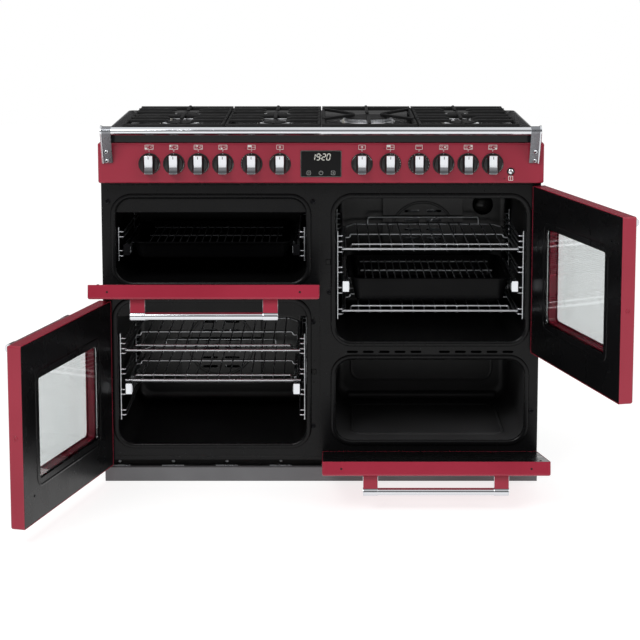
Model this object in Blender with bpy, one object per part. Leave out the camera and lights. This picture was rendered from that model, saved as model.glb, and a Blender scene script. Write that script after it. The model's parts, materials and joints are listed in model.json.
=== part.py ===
"""A freestanding 110 cm range cooker: gas hob, four ovens, four opening doors.

Metres, +Z up. The origin is on the floor, on the cabinet's centre line, in the plane of the oven fronts.
+X is to the right of somebody standing at the range and +Y points towards the wall behind it.
The four doors are modelled shut, about their hinges, and stand open on those hinges.
"""

import math

import bmesh
import bpy
from mathutils import Vector

# ---- driving dimensions -------------------------------------------------------------------------
GAP = 0.0003                 # clearance between pieces that touch
CABINET_HALF_WIDTH = 0.548
CABINET_DEPTH = 0.558
CABINET_TOP = 0.866
BASE_HEIGHT = 0.036          # underside of the base tray, the height of the feet
SHEET = 0.002                # thickness of the cabinet's and the ovens' sheet steel
FRAME_BOTTOM, FRAME_TOP = 0.062, 0.764
FRAME_SHEET = 0.003

OVEN_WIDTH, OVEN_DEPTH, OVEN_CORNER = 0.476, 0.440, 0.040
OVEN_BACK_ROUND = 0.026
OVENS = {                    # centre x, floor z, roof z of each oven's mouth
    "grill_oven": (-0.275, 0.512, 0.723),
    "main_oven": (-0.275, 0.096, 0.460),
    "side_oven": (0.275, 0.360, 0.724),
    "slow_oven": (0.275, 0.104, 0.313),
}

FAN_OVENS = ("main_oven", "side_oven")

DOOR_WIDTH = 0.546
DOOR_INNER_Y, DOOR_OUTER_Y = -0.008, -0.042
DOOR_EDGE_FROM_MIDDLE = 0.003
DOOR_HEEL = 0.005            # chamfer along a drop door's lower outside edge, which swings under
TALL_DOOR, SHORT_DOOR = 0.424, 0.286
DOORS = {                    # side of the centre line, bottom edge, height, drops down, has a window
    "grill_door": (-1, 0.473, SHORT_DOOR, True, False),
    "main_door": (-1, 0.043, TALL_DOOR, False, True),
    "side_door": (1, 0.334, TALL_DOOR, False, True),
    "slow_door": (1, 0.044, SHORT_DOOR, True, False),
}
DROP_PIVOT_Y, DROP_PIVOT_UP, DROP_OPEN_DEG = -0.0255, 0.018, 79.2
SIDE_PIVOT_X, SIDE_PIVOT_Y, SIDE_OPEN_DEG = 0.540, -0.020, 105.0
WINDOW_WIDTH, WINDOW_HEIGHT = 0.346, 0.226
FAN_HEIGHTS = {"main_oven": 0.264, "side_oven": 0.570}

HANDLE_SPAN, HANDLE_RADIUS = 0.350, 0.009
HANDLE_STANDOFF, HANDLE_BELOW_TOP = 0.040, 0.030
HANDLE_ARM_WIDTH = 0.036

PANEL_HALF_WIDTH = 0.550
PANEL_BOTTOM, PANEL_TOP, PANEL_FRONT_Y = 0.767, 0.867, -0.040
KNOB_OFFSETS = (0.101, 0.171, 0.2415, 0.302, 0.3625, 0.423)   # from the centre line, both sides
KNOB_Z, KNOB_RADIUS = 0.8155, 0.025
BUTTON_X, BUTTON_Z, BUTTON_RADIUS = 0.468, 0.7965, 0.0065

RAIL_Y, RAIL_Z, RAIL_RADIUS, RAIL_HALF_LENGTH = -0.075, 0.900, 0.010, 0.545

HOB_HALF_WIDTH, HOB_FRONT_Y, HOB_BACK_Y = 0.536, -0.034, 0.553
HOB_BOTTOM, HOB_RIM, HOB_FLOOR = 0.8685, 0.893, 0.885
GRATE_TOP = 0.908
GRATES = {                   # left edge, right edge, burners' x
    "grate_left": (-0.4970, -0.2425, -0.3620),
    "grate_centre_left": (-0.2410, -0.0010, -0.1195),
    "grate_wok": (0.0010, 0.2430, 0.1220),
    "grate_right": (0.2445, 0.4970, 0.3620),
}
GRATE_FRONT_Y, GRATE_BACK_Y = 0.040, 0.535
FRONT_BURNER_Y, REAR_BURNER_Y, WOK_Y = 0.180, 0.412, 0.315
BURNERS = {                  # x, y, radius of the flame ring
    "burner_front_left": (-0.3620, FRONT_BURNER_Y, 0.046),
    "burner_rear_left": (-0.3620, REAR_BURNER_Y, 0.036),
    "burner_front_centre": (-0.1195, FRONT_BURNER_Y, 0.038),
    "burner_rear_centre": (-0.1195, REAR_BURNER_Y, 0.036),
    "burner_wok": (0.1220, WOK_Y, 0.064),
    "burner_front_right": (0.3620, FRONT_BURNER_Y, 0.044),
    "burner_rear_right": (0.3620, REAR_BURNER_Y, 0.030),
}

WIRE = 0.0026                # radius of shelf and ladder wires
SHELF_HALF_WIDTH, SHELF_FRONT_Y, SHELF_BACK_Y = 0.2225, 0.030, 0.395
SHELF_WIRES, SHELF_WIRE_PITCH = 12, 0.0324
LADDER_FRONT_Y, LADDER_BACK_Y = 0.020, 0.400

# ---- materials ----------------------------------------------------------------------------------
FINISHES = {                 # colour, roughness, metallic
    "red_enamel": ((0.27, 0.028, 0.045), 0.35, 0.0),
    "black_enamel": ((0.012, 0.012, 0.013), 0.28, 0.0),
    "grey_steel": ((0.11, 0.11, 0.11), 0.45, 0.6),
    "chrome": ((0.80, 0.80, 0.80), 0.12, 1.0),
    "cast_iron": ((0.015, 0.015, 0.016), 0.6, 0.1),
    "aluminium": ((0.55, 0.55, 0.55), 0.4, 1.0),
    "black_plastic": ((0.01, 0.01, 0.011), 0.35, 0.0),
    "glass": ((0.75, 0.77, 0.78), 0.03, 0.0),
    "galvanised": ((0.42, 0.43, 0.44), 0.5, 0.9),
}


def finish(name):
    """The Principled material of that finish, made once."""
    found = bpy.data.materials.get(name)
    if found:
        return found
    colour, roughness, metallic = FINISHES[name]
    made = bpy.data.materials.new(name)
    made.use_nodes = True
    shader = made.node_tree.nodes["Principled BSDF"]
    shader.inputs["Base Color"].default_value = (*colour, 1.0)
    shader.inputs["Roughness"].default_value = roughness
    shader.inputs["Metallic"].default_value = metallic
    return made


# ---- shapes -------------------------------------------------------------------------------------
def put(name, bm, material, sharp_deg=35):
    """Turns a bmesh into a named object with its faces pointing out."""
    bmesh.ops.remove_doubles(bm, verts=bm.verts, dist=1e-6)
    bmesh.ops.recalc_face_normals(bm, faces=bm.faces)
    mesh = bpy.data.meshes.new(name)
    bm.to_mesh(mesh)
    bm.free()
    mesh.shade_smooth()
    mesh.set_sharp_from_angle(angle=math.radians(sharp_deg))
    mesh.materials.append(finish(material))
    made = bpy.data.objects.new(name, mesh)
    bpy.context.scene.collection.objects.link(made)
    return made


def add_loft(bm, rings):
    """Skins a row of rings, each a list of 3-D points, and closes both ends."""
    loops = [[bm.verts.new(point) for point in ring] for ring in rings]
    for near, far in zip(loops, loops[1:]):
        for i in range(len(near)):
            j = (i + 1) % len(near)
            bm.faces.new((near[i], near[j], far[j], far[i]))
    bm.faces.new(list(reversed(loops[0])))
    bm.faces.new(loops[-1])


def add_box(bm, low, high):
    corners = [(x, y) for x, y in ((low[0], low[1]), (high[0], low[1]), (high[0], high[1]), (low[0], high[1]))]
    add_loft(bm, [[(x, y, z) for x, y in corners] for z in (low[2], high[2])])


def box(name, low, high, material):
    bm = bmesh.new()
    add_box(bm, low, high)
    return put(name, bm, material)


def loft(name, rings, material):
    bm = bmesh.new()
    add_loft(bm, rings)
    return put(name, bm, material)


def rounded_rectangle(width, height, radius, steps=4, centre=(0.0, 0.0)):
    """2-D points round a rectangle with round corners, anticlockwise."""
    points = []
    for quarter, (sx, sy) in enumerate(((1, 1), (-1, 1), (-1, -1), (1, -1))):
        middle = (centre[0] + sx * (width / 2 - radius), centre[1] + sy * (height / 2 - radius))
        for step in range(steps + 1):
            angle = math.pi / 2 * (quarter + step / steps)
            points.append((middle[0] + radius * math.cos(angle), middle[1] + radius * math.sin(angle)))
    return points


def circle(radius, sides, centre=(0.0, 0.0)):
    turn = 2 * math.pi / sides
    return [(centre[0] + radius * math.cos(turn * (i + 0.5)), centre[1] + radius * math.sin(turn * (i + 0.5)))
            for i in range(sides)]


def on_xz(outline, y):
    return [(x, y, z) for x, z in outline]


def on_xy(outline, z):
    return [(x, y, z) for x, y in outline]


def add_turned(bm, profile, sides, place, along):
    """A turned solid: profile is (radius, distance along the axis), place is the axis's start."""
    for radius, _ in (profile[0], profile[-1]):
        assert radius > 0
    rings = []
    for radius, reach in profile:
        flat = circle(radius, sides)
        if along == "z":
            rings.append([(place[0] + u, place[1] + v, place[2] + reach) for u, v in flat])
        elif along == "y":
            rings.append([(place[0] + u, place[1] + reach, place[2] + v) for u, v in flat])
        else:
            rings.append([(place[0] + reach, place[1] + u, place[2] + v) for u, v in flat])
    add_loft(bm, rings)


def add_wire(bm, path, radius=WIRE, sides=6):
    """A wire along a run of points, mitred at its bends. The ring's frame turns with the path."""
    points = [Vector(point) for point in path]
    runs = [(b - a).normalized() for a, b in zip(points, points[1:])]
    up = Vector((0, 0, 1)) if abs(runs[0].z) < 0.9 else Vector((0, 1, 0))
    side = runs[0].cross(up).normalized()
    rings = []
    for index, point in enumerate(points):
        before = runs[max(index - 1, 0)]
        after = runs[min(index, len(runs) - 1)]
        if index:
            side = (after.rotation_difference(before).inverted() @ side).normalized()
        tangent = (before + after).normalized()
        stretch = 1 / max(tangent.dot(after), 0.3)
        across = (side - side.dot(tangent) * tangent)
        across = across.normalized()
        other = tangent.cross(across)
        bend = (after - before)
        bend = bend.normalized() if bend.length > 1e-6 else None
        ring = []
        for i in range(sides):
            angle = 2 * math.pi * (i + 0.5) / sides
            offset = radius * (math.cos(angle) * across + math.sin(angle) * other)
            if bend:
                lean = bend - bend.dot(tangent) * tangent
                if lean.length > 1e-6:
                    lean.normalize()
                    offset += (stretch - 1) * offset.dot(lean) * lean
            ring.append(point + offset)
        rings.append(ring)
    add_loft(bm, rings)


def helper(obj):
    """Hides an object that only cuts or joins another."""
    obj.hide_render = True
    obj.display_type = "WIRE"
    return obj


def combine(obj, other, operation):
    helper(other)
    modifier = obj.modifiers.new(operation.lower(), "BOOLEAN")
    modifier.operation = operation
    modifier.object = other
    modifier.solver = "EXACT"
    modifier.use_self = operation == "UNION"
    return obj


def cut(obj, other):
    return combine(obj, other, "DIFFERENCE")


def join(obj, other):
    return combine(obj, other, "UNION")


def slab_cutter(name, outlines, y0, y1):
    """A cutter made of separate prisms through the Y direction."""
    bm = bmesh.new()
    for outline in outlines:
        add_loft(bm, [on_xz(outline, y0), on_xz(outline, y1)])
    return put(name, bm, "grey_steel")


# ---- cabinet ------------------------------------------------------------------------------------
def build_cabinet():
    """Side panels, back panel and base tray, folded from one sheet, with four levelling feet."""
    w, d = CABINET_HALF_WIDTH, CABINET_DEPTH
    front = FRAME_SHEET + GAP
    outer = [(-w, front), (w, front), (w, d), (-w, d)]
    inner = [(-w + SHEET, front), (w - SHEET, front), (w - SHEET, d - SHEET), (-w + SHEET, d - SHEET)]
    outline = [outer[0], outer[3], outer[2], outer[1], inner[1], inner[2], inner[3], inner[0]]
    shell = loft("cabinet_shell", [on_xy(outline, BASE_HEIGHT), on_xy(outline, CABINET_TOP)], "black_enamel")
    bm = bmesh.new()
    add_box(bm, (-w + SHEET / 2, front, BASE_HEIGHT), (w - SHEET / 2, d - SHEET / 2, BASE_HEIGHT + SHEET))
    floor = put("base_tray_join", bm, "black_enamel")
    join(shell, floor)
    feet = bmesh.new()
    for x in (-w + 0.06, w - 0.06):
        for y in (0.075, d - 0.06):
            add_turned(feet, [(0.020, 0.0), (0.020, 0.010), (0.008, 0.013), (0.008, BASE_HEIGHT + 0.001)], 12,
                       (x, y, 0.0), "z")
    join(shell, put("feet_join", feet, "grey_steel"))


def build_plinth():
    """Grey kick strip on the floor under the doors, a folded sheet."""
    w = CABINET_HALF_WIDTH
    outline = [(-0.010, 0.0), (0.012, 0.0), (0.012, 0.003), (-0.0065, 0.003), (-0.0065, 0.0325), (0.012, 0.0325),
               (0.012, 0.0355), (-0.010, 0.0355)]
    loft("plinth", [[(x, y, z) for y, z in outline] for x in (-w, w)], "grey_steel")


def build_front_frame():
    """Enamelled front plate with the mouths of the four ovens, cooling slots and latch slots."""
    w = CABINET_HALF_WIDTH
    plate = box("front_frame", (-w, 0.0, FRAME_BOTTOM), (w, FRAME_SHEET, FRAME_TOP), "black_enamel")
    mouths = [rounded_rectangle(OVEN_WIDTH, top - low, OVEN_CORNER, 5, (x, (low + top) / 2))
              for x, low, top in OVENS.values()]
    slot_length, slot_height, slot_pitch = 0.029, 0.006, 0.040
    slots = []
    for side, z in ((1, 0.333), (-1, 0.488)):
        for group in (-1, 1):
            for i in range(5):
                x = side * 0.275 + group * (0.036 + slot_pitch * i)
                slots.append(rounded_rectangle(slot_length, slot_height, 0.0029, 1, (x, z)))
    latches = [rounded_rectangle(0.012, 0.014, 0.001, 1, (x, z)) for x, z in ((0.018, 0.563), (-0.018, 0.282))]
    cut(plate, slab_cutter("frame_cutter", mouths + slots + latches, -0.01, 0.01))


def build_oven_liner(name):
    """One enamelled oven box: open at the front, round at the edges of its back wall."""
    x, low, top = OVENS[name]
    front, back = FRAME_SHEET + GAP, FRAME_SHEET + GAP + OVEN_DEPTH
    middle = (x, (low + top) / 2)
    inner_size, outer_size = (OVEN_WIDTH, top - low), (OVEN_WIDTH + 2 * SHEET, top - low + 2 * SHEET)

    def ring(size, y, inset, corner):
        return on_xz(rounded_rectangle(size[0] - 2 * inset, size[1] - 2 * inset, corner, 5, middle), y)

    def wall(size, corner, thickness):
        rings = [ring(size, front, 0.0, corner)]
        for step in range(4):
            angle = math.pi / 2 * step / 3
            inset = OVEN_BACK_ROUND * (1 - math.cos(angle))
            reach = back - thickness - OVEN_BACK_ROUND * (1 - math.sin(angle))
            rings.append(ring(size, reach, inset, corner - 0.6 * inset))
        return rings

    inside = wall(inner_size, OVEN_CORNER, SHEET)
    outside = wall(outer_size, OVEN_CORNER + SHEET, 0.0)
    liner = loft(name + "_liner", list(reversed(outside)) + inside, "black_enamel")
    if name in FAN_OVENS:
        place = fan_place(name)
        cut(liner, slab_cutter(name + "_shaft_cutter", [circle(0.009, 8, (place[0], place[2]))], back - 0.02, back + 0.01))


def fan_place(oven):
    """Where a fan's blades start on its axis, in front of the oven's back wall."""
    return OVENS[oven][0], FRAME_SHEET + OVEN_DEPTH - 0.032, FAN_HEIGHTS[oven]


# ---- shelves, ladders and pans ------------------------------------------------------------------
def build_ladder(oven, rungs, runner_z):
    """The chromed side wires of one oven, both sides on one frame, with the fixed rails of its telescopic runners."""
    x = OVENS[oven][0]
    reach = OVEN_WIDTH / 2 - 0.0045
    uprights, wires = bmesh.new(), bmesh.new()
    low, top = min(rungs) - 0.004, max(rungs) + 0.004
    for side in (-1, 1):
        outer = x + side * reach
        for y in (LADDER_FRONT_Y, LADDER_BACK_Y):
            add_wire(uprights, [(outer, y, low), (outer, y, top)], WIRE, 4)
        for z in rungs:
            inner = outer - side * 0.013
            add_wire(wires, [(outer + side * 0.001, LADDER_FRONT_Y, z), (inner, LADDER_FRONT_Y, z),
                             (inner, LADDER_BACK_Y, z), (outer + side * 0.001, LADDER_BACK_Y, z)], WIRE * 0.8, 4)
    add_wire(wires, [(x - reach, LADDER_BACK_Y + 0.001, low + 0.006), (x + reach, LADDER_BACK_Y + 0.001, low + 0.006)],
             WIRE * 0.8, 4)
    frame = join(put(oven + "_side_wires", uprights, "chrome"), put(oven + "_rungs_join", wires, "chrome"))
    if runner_z is not None:
        rails = bmesh.new()
        for side in (-1, 1):
            near, far = x + side * (reach - 0.0125), x + side * (reach - 0.0185)
            add_box(rails, (min(near, far), LADDER_FRONT_Y + 0.006, runner_z - 0.012),
                    (max(near, far), LADDER_BACK_Y - 0.01, runner_z + 0.012))
        join(frame, put(oven + "_rails_join", rails, "galvanised"))
    return frame


def add_shelf_bars(bm, x, z):
    """Front bar, side slides and the round-ended bars that the shelf's fine wires are welded to."""
    w, front, back = SHELF_HALF_WIDTH, SHELF_FRONT_Y, SHELF_BACK_Y
    rise, edge = 0.009, 0.026
    add_wire(bm, [(x - w, front, z), (x + w, front, z)], 0.0035)
    add_wire(bm, [(x - w + 0.004, (front + back) / 2, z), (x - w + edge, (front + back) / 2, z + rise),
                  (x + w - edge, (front + back) / 2, z + rise), (x + w - 0.004, (front + back) / 2, z)], WIRE, 4)
    add_wire(bm, [(x - w + 0.004, back, z), (x + w - 0.004, back, z)], WIRE, 4)


def build_shelf(name, oven, z):
    """A chromed wire shelf: bars from side to side, fine wires from front to back."""
    x = OVENS[oven][0]
    bars, wires = bmesh.new(), bmesh.new()
    add_shelf_bars(bars, x, z)
    front, back, rise = SHELF_FRONT_Y, SHELF_BACK_Y, 0.009
    for i in range(SHELF_WIRES):
        across = x + (i - (SHELF_WIRES - 1) / 2) * SHELF_WIRE_PITCH
        add_wire(wires, [(across, front - 0.001, z), (across, front + 0.020, z + rise + 0.0015),
                         (across, back - 0.020, z + rise + 0.0015), (across, back + 0.001, z)], 0.0016, 4)
    for side in (-1, 1):
        edge = x + side * (SHELF_HALF_WIDTH - 0.0085)
        add_wire(wires, [(edge, front - 0.001, z), (edge, back + 0.001, z)], 0.0026, 4)
    return join(put(name, bars, "chrome"), put(name + "_wires_join", wires, "chrome"))


def add_slides(obj, x, z, post, under):
    """The moving members of the telescopic runners, with their front blocks, joined by posts to what they carry."""
    reach = OVEN_WIDTH / 2 - 0.0045
    bm = bmesh.new()
    for side in (-1, 1):
        left, right = sorted((x + side * (reach - 0.0195), x + side * (reach - 0.0345)))
        near, far = sorted((x + side * post[0], x + side * post[1]))
        add_box(bm, (left, LADDER_FRONT_Y - 0.004, z - 0.017), (right, LADDER_FRONT_Y, z + 0.016))
        add_box(bm, (left + 0.004, LADDER_FRONT_Y - 0.001, z - 0.009), (right - 0.004, LADDER_BACK_Y - 0.02, z + 0.010))
        add_box(bm, (near, SHELF_FRONT_Y + 0.05, z + 0.006), (far, SHELF_FRONT_Y + 0.07, under))
    return join(obj, put(obj.name + "_slides_join", bm, "galvanised"))


def build_pan(name, oven, rim_z, half_width, depth):
    """A deep enamelled tray with a rolled rim and a ledge each side that rests on the runners."""
    x = OVENS[oven][0]
    front, back, wall = 0.034, 0.385, 0.0015
    middle = (x, (front + back) / 2)

    def ring(z, grow):
        return on_xy(rounded_rectangle(2 * half_width + 2 * grow, back - front + 2 * grow, 0.030 + grow, 4, middle), z)

    rings = [ring(rim_z - depth + wall, -0.016), ring(rim_z - depth + 0.014, -0.009 - wall), ring(rim_z - wall, -wall),
             ring(rim_z, -wall), ring(rim_z, 0.008), ring(rim_z - wall, 0.008), ring(rim_z - 2 * wall, 0.0),
             ring(rim_z - depth + 0.014, -0.009), ring(rim_z - depth, -0.016)]
    rings[2] = ring(rim_z - 2 * wall, -wall)
    return loft(name, rings, "black_enamel")


# ---- hob ----------------------------------------------------------------------------------------
def build_hob():
    """Pressed hob tray: a shell with a raised rim, open underneath."""
    middle = (0.0, (HOB_FRONT_Y + HOB_BACK_Y) / 2)
    width, depth = 2 * HOB_HALF_WIDTH, HOB_BACK_Y - HOB_FRONT_Y

    def ring(z, inset):
        return on_xy(rounded_rectangle(width - 2 * inset, depth - 2 * inset, 0.006 if inset < 0.005 else 0.012, 2, middle), z)

    rings = [ring(HOB_FLOOR - SHEET, 0.002), ring(HOB_BOTTOM, 0.002), ring(HOB_BOTTOM, 0.0), ring(HOB_RIM - 0.003, 0.0),
             ring(HOB_RIM, 0.003), ring(HOB_RIM, 0.012), ring(HOB_FLOOR, 0.024)]
    loft("hob_tray", rings, "black_enamel")


def build_burner(name):
    """Cast burner: body, slotted flame ring and enamelled cap, a turned solid."""
    x, y, radius = BURNERS[name]
    floor = HOB_FLOOR + GAP
    profile = [(radius + 0.010, 0.0), (radius + 0.010, 0.002), (radius * 0.9, 0.004), (radius * 0.96, 0.0095),
               (radius * 0.86, 0.0105), (radius * 0.92, 0.0120), (radius * 0.88, 0.0140), (radius * 0.5, 0.0145)]
    bm = bmesh.new()
    add_turned(bm, profile, 14, (x, y, floor), "z")
    put(name, bm, "aluminium")


def grate_bar(bm, start, end, top, width=0.009, height=0.011):
    """A straight cast bar between two points in plan."""
    a, b = Vector((*start, 0)), Vector((*end, 0))
    across = (b - a).normalized().cross(Vector((0, 0, 1))) * (width / 2)
    plan = [a - across, b - across, b + across, a + across]
    add_loft(bm, [[(p.x, p.y, z) for p in plan] for z in (top - height, top)])


def add_fingers(bm, left, right, x):
    """Fingers over a pair of burners: rows from the sides and a broken bar down the middle."""
    height = 0.0075
    for centre in (FRONT_BURNER_Y, REAR_BURNER_Y):
        for offset in (-0.036, 0.036):
            for edge, toe in ((left + 0.002, x - 0.030), (right - 0.002, x + 0.030)):
                grate_bar(bm, (edge, centre + offset), (toe, centre + offset), GRATE_TOP, height=height)
    for start, end in ((GRATE_FRONT_Y + 0.002, FRONT_BURNER_Y - 0.024), (FRONT_BURNER_Y + 0.024, REAR_BURNER_Y - 0.024),
                       (REAR_BURNER_Y + 0.024, GRATE_BACK_Y - 0.002)):
        grate_bar(bm, (x, start), (x, end), GRATE_TOP + 0.0005, height=height + 0.0005)


def add_wok_fingers(bm, left, right, x):
    """Fingers of the wok support: a V from each side and a bar from the front and the back."""
    for edge, toe in ((left + 0.004, x - 0.036), (right - 0.004, x + 0.036)):
        for start, end in ((WOK_Y - 0.130, WOK_Y - 0.012), (WOK_Y + 0.150, WOK_Y + 0.012)):
            grate_bar(bm, (edge, start), (toe, end), GRATE_TOP, height=0.0075)
    for start, end in ((GRATE_FRONT_Y + 0.002, WOK_Y - 0.045), (WOK_Y + 0.045, GRATE_BACK_Y - 0.002)):
        grate_bar(bm, (x, start), (x, end), GRATE_TOP + 0.0005, height=0.008)


def build_grate(name):
    """One cast-iron pan support: a frame on feet with fingers towards each burner."""
    left, right, x = GRATES[name]
    front, back, inset = GRATE_FRONT_Y, GRATE_BACK_Y, 0.0045
    frame, sides, feet, fingers = (bmesh.new() for _ in range(4))
    for y in (front + inset, back - inset):
        grate_bar(frame, (left, y), (right, y), GRATE_TOP - 0.002)
    for edge in (left + inset, right - inset):
        grate_bar(sides, (edge, front + 0.001), (edge, back - 0.001), GRATE_TOP - 0.0025, height=0.0105)
        for y in (front + 0.02, back - 0.02):
            add_box(feet, (edge - 0.004, y - 0.006, HOB_FLOOR + GAP), (edge + 0.004, y + 0.006, GRATE_TOP - 0.008))
    if name == "grate_wok":
        add_wok_fingers(fingers, left, right, x)
    else:
        middle = (FRONT_BURNER_Y + REAR_BURNER_Y) / 2
        grate_bar(sides, (left + 0.002, middle), (right - 0.002, middle), GRATE_TOP - 0.001, height=0.0115)
        add_fingers(fingers, left, right, x)
    body = put(name, frame, "cast_iron")
    for part, bm in (("_sides_join", sides), ("_feet_join", feet), ("_fingers_join", fingers)):
        join(body, put(name + part, bm, "cast_iron"))


# ---- control panel ------------------------------------------------------------------------------
def build_control_panel():
    """Enamelled fascia, a tray open at the back, with a hole for each knob's spindle and one for the button."""
    w, wall = PANEL_HALF_WIDTH, 0.0015
    middle_z, height = (PANEL_BOTTOM + PANEL_TOP) / 2, PANEL_TOP - PANEL_BOTTOM

    def ring(y, inset, corner=0.004):
        return on_xz(rounded_rectangle(2 * w - 2 * inset, height - 2 * inset, corner, 2, (0.0, middle_z)), y)

    rings = [ring(PANEL_FRONT_Y + wall, wall, 0.003), ring(-0.001, wall, 0.003), ring(-0.001, 0.0),
             ring(PANEL_FRONT_Y + 0.002, 0.0), ring(PANEL_FRONT_Y, 0.002)]
    panel = loft("control_panel", rings, "red_enamel")
    holes = [circle(0.0055, 8, (side * x, KNOB_Z)) for x in KNOB_OFFSETS for side in (-1, 1)]
    holes.append(circle(BUTTON_RADIUS + 0.001, 12, (BUTTON_X, BUTTON_Z)))
    cut(panel, slab_cutter("panel_cutter", holes, -0.05, -0.03))


def build_knob(name, x):
    """Round knob with a proud finger bar and a spindle, turning about the panel's normal."""
    disc = bmesh.new()
    profile = [(0.004, 0.014), (0.004, -GAP), (KNOB_RADIUS, -GAP), (KNOB_RADIUS, -0.004), (KNOB_RADIUS - 0.0015, -0.0125)]
    add_turned(disc, profile, 16, (0, 0, 0), "y")
    bar = bmesh.new()
    add_loft(bar, [on_xz(rounded_rectangle(0.021, 0.046, 0.004, 1), -0.010),
                   on_xz(rounded_rectangle(0.019, 0.044, 0.004, 1), -0.029)])
    knob = join(put(name, disc, "black_plastic"), put(name + "_bar_join", bar, "chrome"))
    for piece in (knob, bpy.data.objects[name + "_bar_join"]):
        piece.location = (x, PANEL_FRONT_Y, KNOB_Z)


def build_button():
    bm = bmesh.new()
    profile = [(BUTTON_RADIUS - 0.002, 0.012), (BUTTON_RADIUS, 0.012), (BUTTON_RADIUS, -0.0035), (BUTTON_RADIUS - 0.002, -0.005)]
    add_turned(bm, profile, 16, (0, 0, 0), "y")
    put("ignition_button", bm, "chrome").location = (BUTTON_X, PANEL_FRONT_Y, BUTTON_Z)


def build_rail():
    """Chromed towel rail along the hob's front edge, on two bent brackets screwed to the panel."""
    rail = bmesh.new()
    add_turned(rail, [(RAIL_RADIUS, -RAIL_HALF_LENGTH + 0.002), (RAIL_RADIUS, RAIL_HALF_LENGTH - 0.002)], 14,
               (0.0, RAIL_Y, RAIL_Z), "x")
    arms = bmesh.new()
    face = PANEL_FRONT_Y - GAP
    for side in (-1, 1):
        inner, outer = side * 0.516, side * RAIL_HALF_LENGTH
        left, right = min(inner, outer), max(inner, outer)
        profile = [(face, 0.818), (face, 0.8665), (RAIL_Y + 0.010, 0.894), (RAIL_Y + 0.0125, 0.900), (RAIL_Y + 0.009, 0.909),
                   (RAIL_Y, 0.9125), (RAIL_Y - 0.009, 0.909), (RAIL_Y - 0.0125, 0.900), (RAIL_Y - 0.009, 0.891),
                   (RAIL_Y + 0.004, 0.8885), (face - 0.004, 0.862), (face - 0.004, 0.818)]
        add_loft(arms, [[(x, y, z) for y, z in profile] for x in (left, right)])
    join(put("front_rail", rail, "chrome"), put("rail_arms_join", arms, "chrome"))


# ---- doors --------------------------------------------------------------------------------------
def hinge(name, place, turn):
    """An empty on a door's hinge line; its rotation holds the door open."""
    empty = bpy.data.objects.new(name, None)
    empty.location = place
    empty.rotation_euler = turn
    bpy.context.scene.collection.objects.link(empty)
    return empty


def door_outline(low, high, inset, heel, corner=0.004):
    """2-D points round a door, with its lower edge lifted by heel where the outside edge is chamfered."""
    middle = ((low[0] + high[0]) / 2, (low[1] + heel + high[1]) / 2)
    width, height = high[0] - low[0], high[1] - low[1] - heel
    return rounded_rectangle(width - 2 * inset, height - 2 * inset, corner, 2, middle)


def build_door_skin(name, low, high, drop, window):
    """Red outer skin: a tray open towards the oven, its edges folded back, with a chamfered heel on a drop door."""
    wall, heel = 0.0015, DOOR_HEEL if drop else 0.0
    heel_y = DOOR_OUTER_Y + max(heel, 0.004)

    def ring(y, inset, lift, corner=0.004):
        return on_xz(door_outline(low, high, inset, lift, corner), y)

    rings = [ring(DOOR_OUTER_Y + wall, wall, heel, 0.003), ring(heel_y + wall, wall, 0.0, 0.003),
             ring(DOOR_INNER_Y, wall, 0.0, 0.003), ring(DOOR_INNER_Y, 0.0, 0.0), ring(heel_y, 0.0, 0.0),
             ring(DOOR_OUTER_Y + 0.0010, 0.0011, heel * 0.8), ring(DOOR_OUTER_Y, 0.0035, heel)]
    skin = loft(name, rings, "red_enamel")
    if window:
        middle = ((low[0] + high[0]) / 2, (low[1] + high[1]) / 2)
        hole = rounded_rectangle(WINDOW_WIDTH - 0.006, WINDOW_HEIGHT - 0.006, 0.010, 3, middle)
        cut(skin, slab_cutter(name + "_cutter", [hole], DOOR_OUTER_Y - 0.01, DOOR_OUTER_Y + 0.01))
    return skin


def build_door_inner(name, low, high, window):
    """Black inner panel: a shallow tray inside the skin, its face towards the oven."""
    clear, wall = 0.0015 + GAP, 0.0015
    low, high = (low[0] + clear, low[1] + clear), (high[0] - clear, high[1] - clear)
    back = DOOR_OUTER_Y + 0.010

    def ring(y, inset):
        return on_xz(door_outline(low, high, inset, 0.0, 0.0027), y)

    rings = [ring(DOOR_INNER_Y - wall, wall), ring(back, wall), ring(back, 0.0), ring(DOOR_INNER_Y, 0.0)]
    panel = loft(name, rings, "black_enamel")
    if window:
        middle = ((low[0] + high[0]) / 2, (low[1] + high[1]) / 2)
        hole = rounded_rectangle(WINDOW_WIDTH + 0.010, WINDOW_HEIGHT + 0.012, 0.014, 3, middle)
        cut(panel, slab_cutter(name + "_cutter", [hole], DOOR_INNER_Y - 0.01, DOOR_INNER_Y + 0.01))
    return panel


def build_door_glass(name, low, high):
    """The window's pane, clamped between skin and inner panel."""
    middle = ((low[0] + high[0]) / 2, (low[1] + high[1]) / 2)
    outline = rounded_rectangle(WINDOW_WIDTH + 0.040, WINDOW_HEIGHT + 0.040, 0.006, 2, middle)
    return loft(name, [on_xz(outline, DOOR_OUTER_Y + 0.0019), on_xz(outline, DOOR_OUTER_Y + 0.0059)], "glass")


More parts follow.
